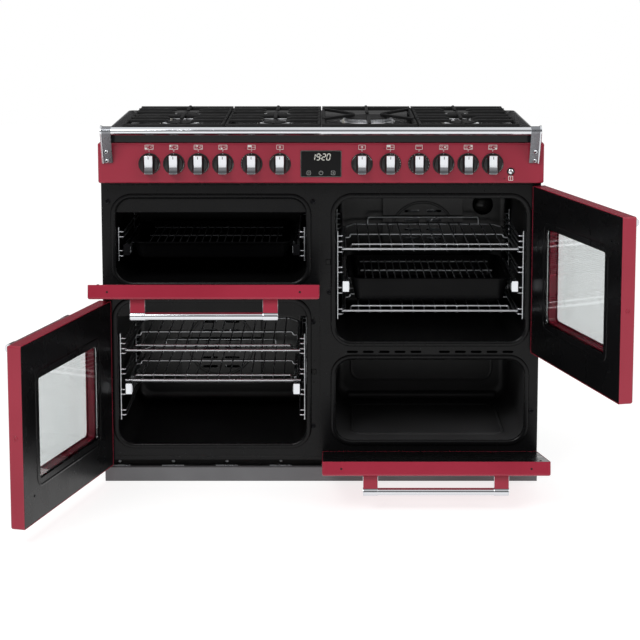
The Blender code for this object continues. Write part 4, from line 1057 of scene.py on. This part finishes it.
def clock_frame(middle, width, height, corner, line, steps):
    """A printed outline on the clock's glass."""
    return bead(width, height, corner, middle,
                [(0.0, CLOCK_BACK), (0.0, CLOCK_INK), (line, CLOCK_INK), (line, CLOCK_BACK)],
                steps=steps)


piece("clock_border", "cabinet", GREY_PRINT,
      [clock_frame((0.0, CLOCK_Z), 0.0985, 0.0635, 0.0020, 0.0005, 3)])

SEGMENTS = {"a": (0, 1, 0), "b": (1, 0.5, 1), "c": (1, -0.5, 1), "d": (0, -1, 0), "e": (-1, -0.5, 1), "f": (-1, 0.5, 1),
            "g": (0, 0, 0)}
LIT = {"1": "bc", "9": "abcdfg", "2": "abged", "0": "abcdef"}
DIGIT_HALF_WIDTH, DIGIT_HALF_HEIGHT, LEAN = 0.0038, 0.0075, 0.14


def segment(u, v, upright, middle):
    """One hexagonal bar of a digit, leaning to the right."""
    length, half = 0.0066, 0.0008
    outline = [(-length / 2, 0), (-length / 2 + half, half), (length / 2 - half, half), (length / 2, 0),
               (length / 2 - half, -half), (-length / 2 + half, -half)]
    if upright:
        outline = [(-b, a) for a, b in outline]
    points = [(middle[0] + u * DIGIT_HALF_WIDTH + a + LEAN * (v * DIGIT_HALF_HEIGHT + b),
               middle[1] + v * DIGIT_HALF_HEIGHT + b) for a, b in outline]
    return lofted([on_xz(points, y) for y in (CLOCK_FACE + 0.0003, CLOCK_FACE - 0.0003)])


digit_parts = []
for x, digit in ((-0.0185, "1"), (-0.0065, "9"), (0.0070, "2"), (0.0185, "0")):
    digit_parts += [segment(*SEGMENTS[name], (x, CLOCK_Z + 0.0170)) for name in LIT[digit]]
digit_parts += [turned([(0, 0.0003), (0.0010, 0.0003), (0.0010, -0.0003), (0, -0.0003)],
                       (LEAN * v + 0.0003, CLOCK_FACE, CLOCK_Z + 0.0170 + v), sides=12) for v in (-0.0036, 0.0036)]
piece("clock_digits", "cabinet", DIGIT_GLOW, digit_parts)

TOUCH_Z = CLOCK_Z - 0.0225
touch = [clock_frame((x, TOUCH_Z), 0.0085, 0.0085, corner, 0.0010, 6)
         for x, corner in ((-0.030, 0.002), (0.0, 0.0042), (0.030, 0.002))]
touch += [block((x - w, CLOCK_INK, TOUCH_Z - h), (x + w, CLOCK_BACK, TOUCH_Z + h), 0.0001)
          for x, w, h in ((-0.030, 0.0026, 0.0005), (0.030, 0.0026, 0.0005), (0.030, 0.0005, 0.0026))]
touch.append(block((-0.0004, CLOCK_INK, CLOCK_Z - 0.0227), (0.0004, CLOCK_BACK, CLOCK_Z - 0.0195), 0.0001))
piece("clock_touch_marks", "cabinet", GREY_PRINT, touch)

# %% [markdown]
# ## Knobs
#
# A fixed black bezel with white marks surrounds each knob. The knob itself is a black dial with
# a raised grip across it, and the grip is capped by a chromed bar with a dark pointer notch. Bezels
# and marks belong to the cabinet, and dials and caps to the knobs' own bodies.

# %% Bezels and their marks
bezel = turned([(0.0268, 0.0004), (0.0268, -0.0020), (0.0258, -0.0032), (0.0248, -0.0034), (0.0236, -0.0034),
                (0.0232, -0.0026), (0.0100, -0.0010), (0.0100, 0.0004)], (0, 0, 0), sides=64)
tick = block((-0.00035, -0.0002, -0.0011), (0.00035, 0.0003, 0.0011), 0.0001)
spot = turned([(0, 0.0003), (0.0008, 0.0003), (0.0008, -0.0002), (0, -0.0002)], (0, 0, 0), sides=12)
SCALES = {"gas": (7, 90, 8), 4: (9, 240, 15), 7: (11, 10, 14), 8: (17, 30, 19)}   # count, first angle, step, clockwise
bezel_marks = []
for knob, x in enumerate(KNOB_XS):
    scales = [SCALES["gas"]] if knob in GAS_KNOBS else [(4, 295, 8), (4, 40, 8)] if knob in (5, 6) else [SCALES[knob]]
    for count, first, step in scales:
        marks = round_dial(tick.copy(), count, 0.0250, first, step, PRINT)
        bezel_marks.append(moved(marks, (x, PANEL_FACE - 0.0035, KNOB_Z)))
    bezel_marks.append(moved(spot.copy(), (x, PANEL_FACE - 0.0035, KNOB_Z + 0.0250)))
piece("knob_bezels", "cabinet", BLACK_PLASTIC,
      [on_points(bezel, [(x, PANEL_FACE, KNOB_Z) for x in KNOB_XS], BLACK_PLASTIC)])
piece("bezel_marks", "cabinet", PRINT, bezel_marks)

# %% Dials, caps and pointers
KNOB_BODIES = {joint["child"]: joint["pos_m"][0] for joint in frame["joints"] if "knob" in joint["child"]}


def dial_parts(x):
    face = PANEL_FACE
    dial = turned([(0, -0.0012), (0.0226, -0.0012), (0.0228, -0.0040), (0.0225, -0.0090), (0.0218, -0.0112),
                   (0.0200, -0.0124), (0, -0.0128)], (x, face, KNOB_Z), sides=64)
    grip = lofted([on_xz(rounded_rectangle(width, height, min(width / 2 - 0.0005, corner), 6, (x, KNOB_Z)),
                         face - reach)
                   for width, height, corner, reach in
                   ((0.0300, 0.0440, 0.0060, 0.0105), (0.0275, 0.0445, 0.0060, 0.0140),
                    (0.0248, 0.0450, 0.0055, 0.0200),
                    (0.0228, 0.0452, 0.0050, 0.0248), (0.0205, 0.0448, 0.0045, 0.0262))])

    def crown(v):
        """How far the cap's scooped top stands off the fascia at height v on the grip."""
        return 0.0266 + 4.8 * (v + 0.004) ** 2

    def section(v, shrink):
        half, top = 0.0103 - shrink, crown(v) - shrink
        side = [(half - 0.0005, 0.0256), (half, 0.0262), (half, top - 0.0015), (half - 0.0005, top - 0.0006),
                (half - 0.0018, top - 0.0001), (half - 0.0060, top)]
        return [(x + u, face - reach, KNOB_Z + v) for u, reach in side + [(-u, reach) for u, reach in reversed(side)]]

    cap = lofted([section(v, shrink) for v, shrink in [(-0.0229, 0.0010), (-0.0224, 0.0003)]
                  + [(0.0218 * step / 6, 0.0) for step in range(-6, 7)] + [(0.0224, 0.0003), (0.0229, 0.0010)]])
    # The pointer notch is a matt black strip on the cap, painted shade for the groove.
    notch = lofted([[(x - 0.0008, face - 0.0262, KNOB_Z + v), (x + 0.0008, face - 0.0262, KNOB_Z + v),
                     (x + 0.0008, face - crown(v) - 0.0002, KNOB_Z + v),
                     (x - 0.0008, face - crown(v) - 0.0002, KNOB_Z + v)]
                    for v in (0.0140, 0.0172, 0.0205)])
    return [dial, grip], [cap], [notch]


for number, (body, x) in enumerate(sorted(KNOB_BODIES.items(), key=lambda item: item[1]), 1):
    plastic, chrome, pointer = dial_parts(x)
    piece(f"{body}_dial", body, BLACK_PLASTIC, plastic, [f"knob_{number:02d}"])
    piece(f"{body}_cap", body, CHROME, chrome)
    piece(f"{body}_pointer", body, MATT_BLACK_AND_PAINTED_RECESS_SHADE, pointer)

# %% Ignition button
x, z = 0.468, 0.7965
surround = turned([(0.0072, 0.0004), (0.0072, -0.0020), (0.0080, -0.0030), (0.0090, -0.0024), (0.0095, 0.0),
                   (0.0095, 0.0004)],
                  (x, PANEL_FACE, z), sides=40)
piece("button_surround", "cabinet", BLACK_PLASTIC, [surround])
dome = turned([(0, 0.0100), (0.0064, 0.0100), (0.0065, -0.0028), (0.0060, -0.0042), (0.0044, -0.0052), (0.0, -0.0057)],
              (x, PANEL_FACE, z), sides=40)
piece("button_dome", "ignition_button_body", CHROME, [dome], ["ignition_button"])

# %% [markdown]
# ## Front rail
#
# A chromed tube runs along the hob's front edge. Each bracket is a brushed strap that leans out
# from the fascia and wraps the tube's end, with two socket screws on it and a chromed web beside it
# that closes the gap behind. Seen from the side, strap and web are rows of points with a rounded
# nose of arc points, and both are pushed sideways with eased edges.

# %% Rail
RAIL_Y, RAIL_Z = -0.075, 0.900
tube = turned([(0, -0.5370), (0.0085, -0.5368), (0.0098, -0.5355), (0.0100, -0.5330), (0.0100, 0.5330),
               (0.0098, 0.5355),
               (0.0085, 0.5368), (0, 0.5370)], (0.0, RAIL_Y, RAIL_Z), "x", 48)
LEAN_BACK = 28.6          # degrees from upright, where the strap meets the collar as a tangent


def nose(radius, first, last, steps):
    """Arc points round the rail, from the strap's front over the top to its back."""
    turns = [math.radians(first + (last - first) * step / steps) for step in range(steps + 1)]
    return [(RAIL_Y + radius * math.cos(turn), RAIL_Z + radius * math.sin(turn)) for turn in turns]


strap = [(-0.0403, 0.8180), (-0.0440, 0.8180), *nose(0.0120, 180 + LEAN_BACK, -106.6, 30), (-0.0409, 0.8215),
         (-0.0403, 0.8215)]
web = [(-0.0403, 0.8170), (-0.0468, 0.8170), *nose(0.0138, 180 + LEAN_BACK, -58, 26), (-0.0500, 0.8740),
       (-0.0403, 0.8650)]


def eased(outline, inset):
    middle = (sum(u for u, _ in outline) / len(outline), sum(v for _, v in outline) / len(outline))
    reach = max(math.hypot(u - middle[0], v - middle[1]) for u, v in outline)
    return [(u + (middle[0] - u) * inset / reach, v + (middle[1] - v) * inset / reach) for u, v in outline]


def sideways(outline, low, high):
    """An outline in the upright plane, pushed sideways with eased edges."""
    return lofted([on_yz(eased(outline, inset), x) for x, inset in
                   ((low, 0.0007), (low + 0.0008, 0.0), (high - 0.0008, 0.0), (high, 0.0007))])


webs = [sideways(web, low, low + 0.0045) for low in (-0.5385, 0.5340)]
piece("hob_rail", "cabinet", CHROME, [tube, *webs], ["front_rail"])
piece("rail_straps", "cabinet", BRUSHED_STEEL,
      [sideways(strap, low, low + 0.0250) for low in (-0.5375, 0.5125)])
TIPPED = Matrix.Rotation(math.radians(LEAN_BACK), 4, "X")
screw_spots = [(x, -0.0440 - math.tan(math.radians(LEAN_BACK)) * (z - 0.8180), z) for x in (-0.5262, 0.5262)
               for z in (0.8245, 0.8480)]
head = turned([(0.0022, -0.0016), (0.0022, -0.0036), (0.0034, -0.0038), (0.0050, -0.0026), (0.0055, -0.0008),
               (0.0055, 0.0006), (0, 0.0006), (0, -0.0016)], (0, 0, 0), sides=32)
piece("rail_screws", "cabinet", CHROME, [on_points(moved(head, turn=TIPPED), screw_spots, CHROME)])
# The hex sockets are matt black shapes on the heads, painted shade for their recess.
recess = turned([(0, 0.0004), (0.0024, 0.0004), (0.0024, -0.0018), (0, -0.0018)], (0, 0, 0), sides=6)
piece("rail_screw_sockets", "cabinet", MATT_BLACK_AND_PAINTED_RECESS_SHADE,
      [on_points(moved(recess, turn=TIPPED), screw_spots, MATT_BLACK_AND_PAINTED_RECESS_SHADE)])

# %% [markdown]
# ## Doors
#
# A door is a red enamelled skin, folded back all round, with a black inner panel set into it. The
# two tall doors swing on the cooker's sides and have a window; the two short ones drop
# down. Each is drawn shut, in plain upright sizes, and then turned on its own hinge to the open rest.

# %% Door sizes
DOORS = {"grill_door": (-1, 0.473, 0.286, True), "main_door": (-1, 0.043, 0.424, False),
         "side_door": (1, 0.334, 0.424, False), "slow_door": (1, 0.044, 0.286, True)}    # side, bottom, height, drops
DOOR_WIDTH, DOOR_NEAR, INNER_Y, OUTER_Y = 0.546, 0.003, -0.008, -0.042
WINDOW = (0.346, 0.226)


def door_box(door):
    side, bottom, height, drops = DOORS[door]
    left, right = sorted((side * DOOR_NEAR, side * (DOOR_NEAR + DOOR_WIDTH)))
    return (left, bottom), (right, bottom + height), ((left + right) / 2, (bottom + bottom + height) / 2), drops


def door_ring(low, high, y, inset, lift=0.0, corner=0.004):
    """A rounded rectangle round a door, its lower edge raised by lift."""
    middle = ((low[0] + high[0]) / 2, (low[1] + lift + high[1]) / 2)
    return on_xz(rounded_rectangle(high[0] - low[0] - 2 * inset, high[1] - low[1] - lift - 2 * inset,
                                   max(corner - inset / 2, 0.0015), 5, middle), y)


# %% [markdown]
# ### Skins and inner panels
#
# The skin's front edge is rolled over a radius of a few millimetres, which carries the long
# highlight down each edge. A drop door's lower edge is cut back so that it clears the plinth
# as it swings. Windows are cut right through. A red reveal lines the outer part of the opening, a
# black sleeve lines the inner part, and a raised bead frames it inside.

# %% Skins and inner panels
def door_skin(low, high, drops):
    heel = 0.005 if drops else 0.0
    steps = [(OUTER_Y + 0.0055, 0.0, heel * 0.1), (OUTER_Y + 0.0034, 0.0003, heel * 0.35),
             (OUTER_Y + 0.0018, 0.0011, heel * 0.65), (OUTER_Y + 0.0006, 0.0024, heel * 0.9), (OUTER_Y, 0.0048, heel)]
    rings = [door_ring(low, high, OUTER_Y + 0.0016, 0.0060, heel), door_ring(low, high, OUTER_Y + 0.0055, 0.0016, 0.0),
             door_ring(low, high, INNER_Y, 0.0016), door_ring(low, high, INNER_Y, 0.0003),
             door_ring(low, high, INNER_Y - 0.0004, 0.0)]
    return lofted(rings + [door_ring(low, high, y, inset, lift) for y, inset, lift in steps])


def inner_panel(low, high):
    low, high = (low[0] + 0.0018, low[1] + 0.0018), (high[0] - 0.0018, high[1] - 0.0018)
    rings = [(INNER_Y - 0.0018, 0.0030), (INNER_Y - 0.0028, 0.0015), (OUTER_Y + 0.010, 0.0015), (OUTER_Y + 0.010, 0.0),
             (INNER_Y - 0.0022, 0.0), (INNER_Y - 0.0010, 0.0003), (INNER_Y - 0.0002, 0.0012), (INNER_Y, 0.0026)]
    return lofted([door_ring(low, high, y, inset, 0.0, 0.003) for y, inset in rings])


def window_cutter(middle, grow, corner):
    return block((middle[0] - WINDOW[0] / 2 - grow, -0.0600, middle[1] - WINDOW[1] / 2 - grow),
                 (middle[0] + WINDOW[0] / 2 + grow, 0.0100, middle[1] + WINDOW[1] / 2 + grow), 0.0005, corner, steps=6)


for door in DOORS:
    low, high, middle, drops = door_box(door)
    swing = opened(door + "_hinge")
    skin, inner = [door_skin(low, high, drops)], [inner_panel(low, high)]
    if not drops:
        skin = [carve(skin[0], window_cutter(middle, -0.003, 0.012))]
        inner = [carve(inner[0], window_cutter(middle, 0.005, 0.005))]
        skin.append(bead(WINDOW[0] + 0.002, WINDOW[1] + 0.002, 0.012, middle,
                         [(0.0, -0.0190), (0.0030, -0.0190), (0.0030, OUTER_Y + 0.0062), (0.0, OUTER_Y + 0.0062)]))
        raised = [(0.0, INNER_Y - 0.0012), (0.0012, INNER_Y + 0.0006), (0.0040, INNER_Y + 0.0014),
                  (0.0070, INNER_Y + 0.0006),
                  (0.0084, INNER_Y - 0.0012)]
        inner.append(bead(WINDOW[0] + 0.034, WINDOW[1] + 0.034, 0.022, middle, raised))
        sleeve = [(0.0, INNER_Y - 0.0008), (0.0016, INNER_Y - 0.0008), (0.0016, -0.0185), (0.0, -0.0185)]
        inner.append(bead(WINDOW[0] + 0.010, WINDOW[1] + 0.010, 0.006, middle, sleeve))
    piece(door + "_outer_skin", door, RED_ENAMEL, skin, [door + "_skin"], swing)
    piece(door + "_inner_panel", door, BLACK_ENAMEL, inner, [door + "_inner"], swing)
    if not drops:
        pane = block((middle[0] - WINDOW[0] / 2 - 0.0045, INNER_Y - 0.0070, middle[1] - WINDOW[1] / 2 - 0.0045),
                     (middle[0] + WINDOW[0] / 2 + 0.0045, INNER_Y - 0.0040, middle[1] + WINDOW[1] / 2 + 0.0045), 0.0006,
                     0.012)
        piece(door + "_inner_pane", door, CLEAR_GLASS, [pane], move=swing)

# %% [markdown]
# ### Screws and holes in the doors
#
# Screws hold the window's frame at its corners, a ringed striker sits on the free edge of each
# tall door at mid-height, and two holes are punched in the top edge of each drop door. They
# show how a door comes apart.

# %% Door screws, strikers and edge holes
door_screw = turned([(0, 0.0016), (0.0020, 0.0014), (0.0030, 0.0006), (0.0032, -0.0006), (0, -0.0006)], (0, 0, 0),
                    sides=16)
for door in DOORS:
    low, high, middle, drops = door_box(door)
    swing, side = opened(door + "_hinge"), DOORS[door][0]
    if drops:
        spots = [(x, INNER_Y, z) for x in (low[0] + 0.022, high[0] - 0.022) for z in (low[1] + 0.030, high[1] - 0.022)]
        # The edge holes are matt black discs, painted shade for the punched holes.
        holes = [turned([(0, 0.0003), (0.0026, 0.0003), (0.0026, -0.0030), (0, -0.0030)], (x, -0.0250, high[1]), "z",
                        16)
                 for x in (low[0] + 0.046, high[0] - 0.046)]
        piece(door + "_edge_holes", door, MATT_BLACK_AND_PAINTED_RECESS_SHADE, holes, move=swing)
    else:
        reach = (WINDOW[0] / 2 + 0.040, WINDOW[1] / 2 + 0.036)
        spots = [(middle[0] + u * reach[0], INNER_Y, middle[1] + v * reach[1]) for u in (-1, 1) for v in (-1, 1)]
        edge = side * DOOR_NEAR
        ring = turned([(0.0030, side * 0.0003), (0.0030, -side * 0.0009), (0.0046, -side * 0.0013),
                       (0.0058, -side * 0.0006),
                       (0.0060, side * 0.0005)], (edge, -0.0250, middle[1]), "x", 28)
        # The striker's holes are matt black pins, painted shade for the holes.
        pins = [turned([(0, 0.0006), (0.0019, 0.0006), (0.0019, -0.0014), (0, -0.0014)],
                       (edge + side * 0.020, INNER_Y, middle[1] + v), "y", 14) for v in (-0.012, 0.012)]
        piece(door + "_striker", door, RED_ENAMEL, [ring], move=swing)
        piece(door + "_striker_holes", door, MATT_BLACK_AND_PAINTED_RECESS_SHADE, pins, move=swing)
    piece(door + "_screws", door, BLACK_STEEL, [on_points(door_screw.copy(), spots, BLACK_STEEL)],
          move=swing)

# %% [markdown]
# ### Handles
#
# A handle is a chromed bar held at both ends by a cast arm. From the side the arm is a tapered web
# that closes round the bar in a collar. A thin strip of red enamel along its upper face is a
# painted reflection of the red door in the chrome. One outline, pushed sideways with eased edges,
# makes the arm, and the bar is turned with domed ends.

# %% Handles
HANDLE_HALF, HANDLE_R, STANDOFF = 0.175, 0.009, 0.040
for door in DOORS:
    _, high, middle, _ = door_box(door)
    x, y, z = middle[0], OUTER_Y - STANDOFF, high[1] - 0.030
    bar = turned([(0, -HANDLE_HALF + 0.0010), (0.0070, -HANDLE_HALF + 0.0012), (HANDLE_R, -HANDLE_HALF + 0.0030),
                  (HANDLE_R, HANDLE_HALF - 0.0030), (0.0070, HANDLE_HALF - 0.0012), (0, HANDLE_HALF - 0.0010)],
                 (x, y, z), "x", 40)
    collar = HANDLE_R + 0.0012
    outline = [(OUTER_Y - 0.0003, z - 0.0110), (OUTER_Y - 0.0003, z + 0.0110), (OUTER_Y - 0.0040, z + 0.0112),
               (OUTER_Y - 0.0140, z + 0.0098), (OUTER_Y - 0.0250, z + 0.0088)]
    outline += [(y + collar * math.cos(turn), z + collar * math.sin(turn))
                for turn in [math.radians(52 + 256 * step / 24) for step in range(25)]]
    outline += [(OUTER_Y - 0.0250, z - 0.0088), (OUTER_Y - 0.0140, z - 0.0098), (OUTER_Y - 0.0040, z - 0.0112)]
    # The strip along the arm's upper face is red enamel, a painted reflection of the red door in the chrome arm.
    painted_reflection_profile = [(-0.0005, 0.0105), (-0.0140, 0.0092), (-0.0250, 0.0082), (-0.0325, 0.0076), (-0.0325, 0.0086),
             (-0.0250, 0.0094),
             (-0.0140, 0.0104), (-0.0040, 0.0118), (-0.0005, 0.0117)]
    arms, painted_reflection_strips = [], []
    for side in (-1, 1):
        near, far = sorted((x + side * HANDLE_HALF, x + side * (HANDLE_HALF - 0.036)))
        arms.append(lofted([on_yz(eased(outline, inset), at) for at, inset in
                            ((near, 0.0018), (near + 0.0004, 0.0009), (near + 0.0016, 0.0), (far - 0.0016, 0.0),
                             (far - 0.0004, 0.0009), (far, 0.0018))]))
        painted_reflection_strips.append(lofted([on_yz([(OUTER_Y + u, z + v) for u, v in painted_reflection_profile], at) for at in (near + 0.0008,
                                                                                             far - 0.0008)]))
    swing = opened(door + "_hinge")
    piece(door + "_chrome_handle", door, CHROME, [bar, *arms], [door + "_handle"], swing)
    # The red strips are painted reflections of the door's red enamel.
    piece(door + "_handle_inlays", door, RED_ENAMEL, painted_reflection_strips, move=swing)

# %% [markdown]
# ## Floor, light and camera
#
# The cooker stands on a plain pale floor in soft, even light, the way a catalogue shows a
# white-goods product: a white surround for the reflections, a broad panel high on the left, and a
# weaker one on the right. The camera stands well back, a little below adult eye height, and looks
# down a little.

# %% Floor
floor_mesh = bpy.data.meshes.new("floor")
floor_mesh.from_pydata([(-9, -9, 0), (9, -9, 0), (9, 9, 0), (-9, 9, 0)], [], [(0, 1, 2, 3)])
floor = link_up("floor", floor_mesh)
FLOOR_PAINT, tree, shader = material("pale_matt_floor", "9E9E9D", 0.8, Emission_Strength=0.80)
shader.inputs["Emission Color"].default_value = linear("FFFFFF")
relief(tree, shader, 60, 0.05)
floor_mesh.materials.append(FLOOR_PAINT)

# %% Lights
world = bpy.data.worlds.new("studio")
bpy.context.scene.world = world
world.use_nodes = True
tree, sky = world.node_tree, world.node_tree.nodes["Background"]
heading = add(tree, "ShaderNodeSeparateXYZ", {"Vector": add(tree, "ShaderNodeTexCoord").outputs["Generated"]}).outputs
behind = add(tree, "ShaderNodeMapRange", {"Value": heading["Y"], "From Min": -0.75, "From Max": -0.05})
above = add(tree, "ShaderNodeMapRange", {"Value": heading["Z"], "From Min": 0.30, "From Max": 0.85})
bright = add(tree, "ShaderNodeMath", {0: behind.outputs["Result"], 1: above.outputs["Result"]}, operation="MAXIMUM")
shade = add(tree, "ShaderNodeValToRGB", {"Fac": bright.outputs[0]})
for stop, position, code in zip(shade.color_ramp.elements, (0.0, 1.0), ("8F8F90", "FFFFFF")):
    stop.position, stop.color = position, linear(code)
# A dark band above the horizon, deepest at the back, puts the dark lines into the chrome and keeps
# level tops deep in colour.
band = add(tree, "ShaderNodeValToRGB", {"Fac": heading["Z"]})
for position in (0.42, 0.80):
    band.color_ramp.elements.new(position)
for stop, position, level in zip(band.color_ramp.elements, (0.03, 0.09, 0.42, 0.80), (0.0, 1.0, 1.0, 0.0)):
    stop.position, stop.color = position, (level, level, level, 1.0)
depth = add(tree, "ShaderNodeMapRange", {"Value": heading["Y"], "From Min": -0.4, "From Max": 0.3, "To Min": 0.60,
                                         "To Max": 0.95})
share = add(tree, "ShaderNodeMath", {0: band.outputs["Color"], 1: depth.outputs["Result"]}, operation="MULTIPLY")
shade = add(tree, "ShaderNodeMix", {"Factor": share.outputs[0], "A": shade.outputs["Color"], "B": linear("2E2E30")},
            data_type="RGBA")
tree.links.new(shade.outputs["Result"], sky.inputs["Color"])
sky.inputs["Strength"].default_value = 1.0
for name, place, aim, size, power in (("key", (-2.0, -3.6, 3.6), (0.0, 0.0, 0.5), (2.4, 1.6), 105),
                                      ("fill", (3.0, -3.0, 2.6), (0.0, 0.0, 0.5), (1.6, 1.6), 40)):
    lamp = bpy.data.lights.new(name, "AREA")
    lamp.shape, lamp.size, lamp.size_y, lamp.energy = "RECTANGLE", size[0], size[1], power
    made = link_up(name, lamp)
    made.location = place
    made.rotation_euler = (Vector(aim) - Vector(place)).to_track_quat("-Z", "Y").to_euler()
bpy.context.scene.view_settings.view_transform = "Standard"

# %% Camera
camera = bpy.data.cameras.new("camera")
camera.lens, camera.sensor_width = 104.83, 36.0
camera.shift_x, camera.shift_y = -0.0119, -0.1875
stand = link_up("camera", camera)
stand.location = (0.0164, -4.600, 1.3703)
stand.rotation_euler = (math.pi / 2 - 0.1405, 0.0, 0.0)
bpy.context.scene.camera = stand
print("camera", [round(value, 3) for value in stand.location], "lens", camera.lens)
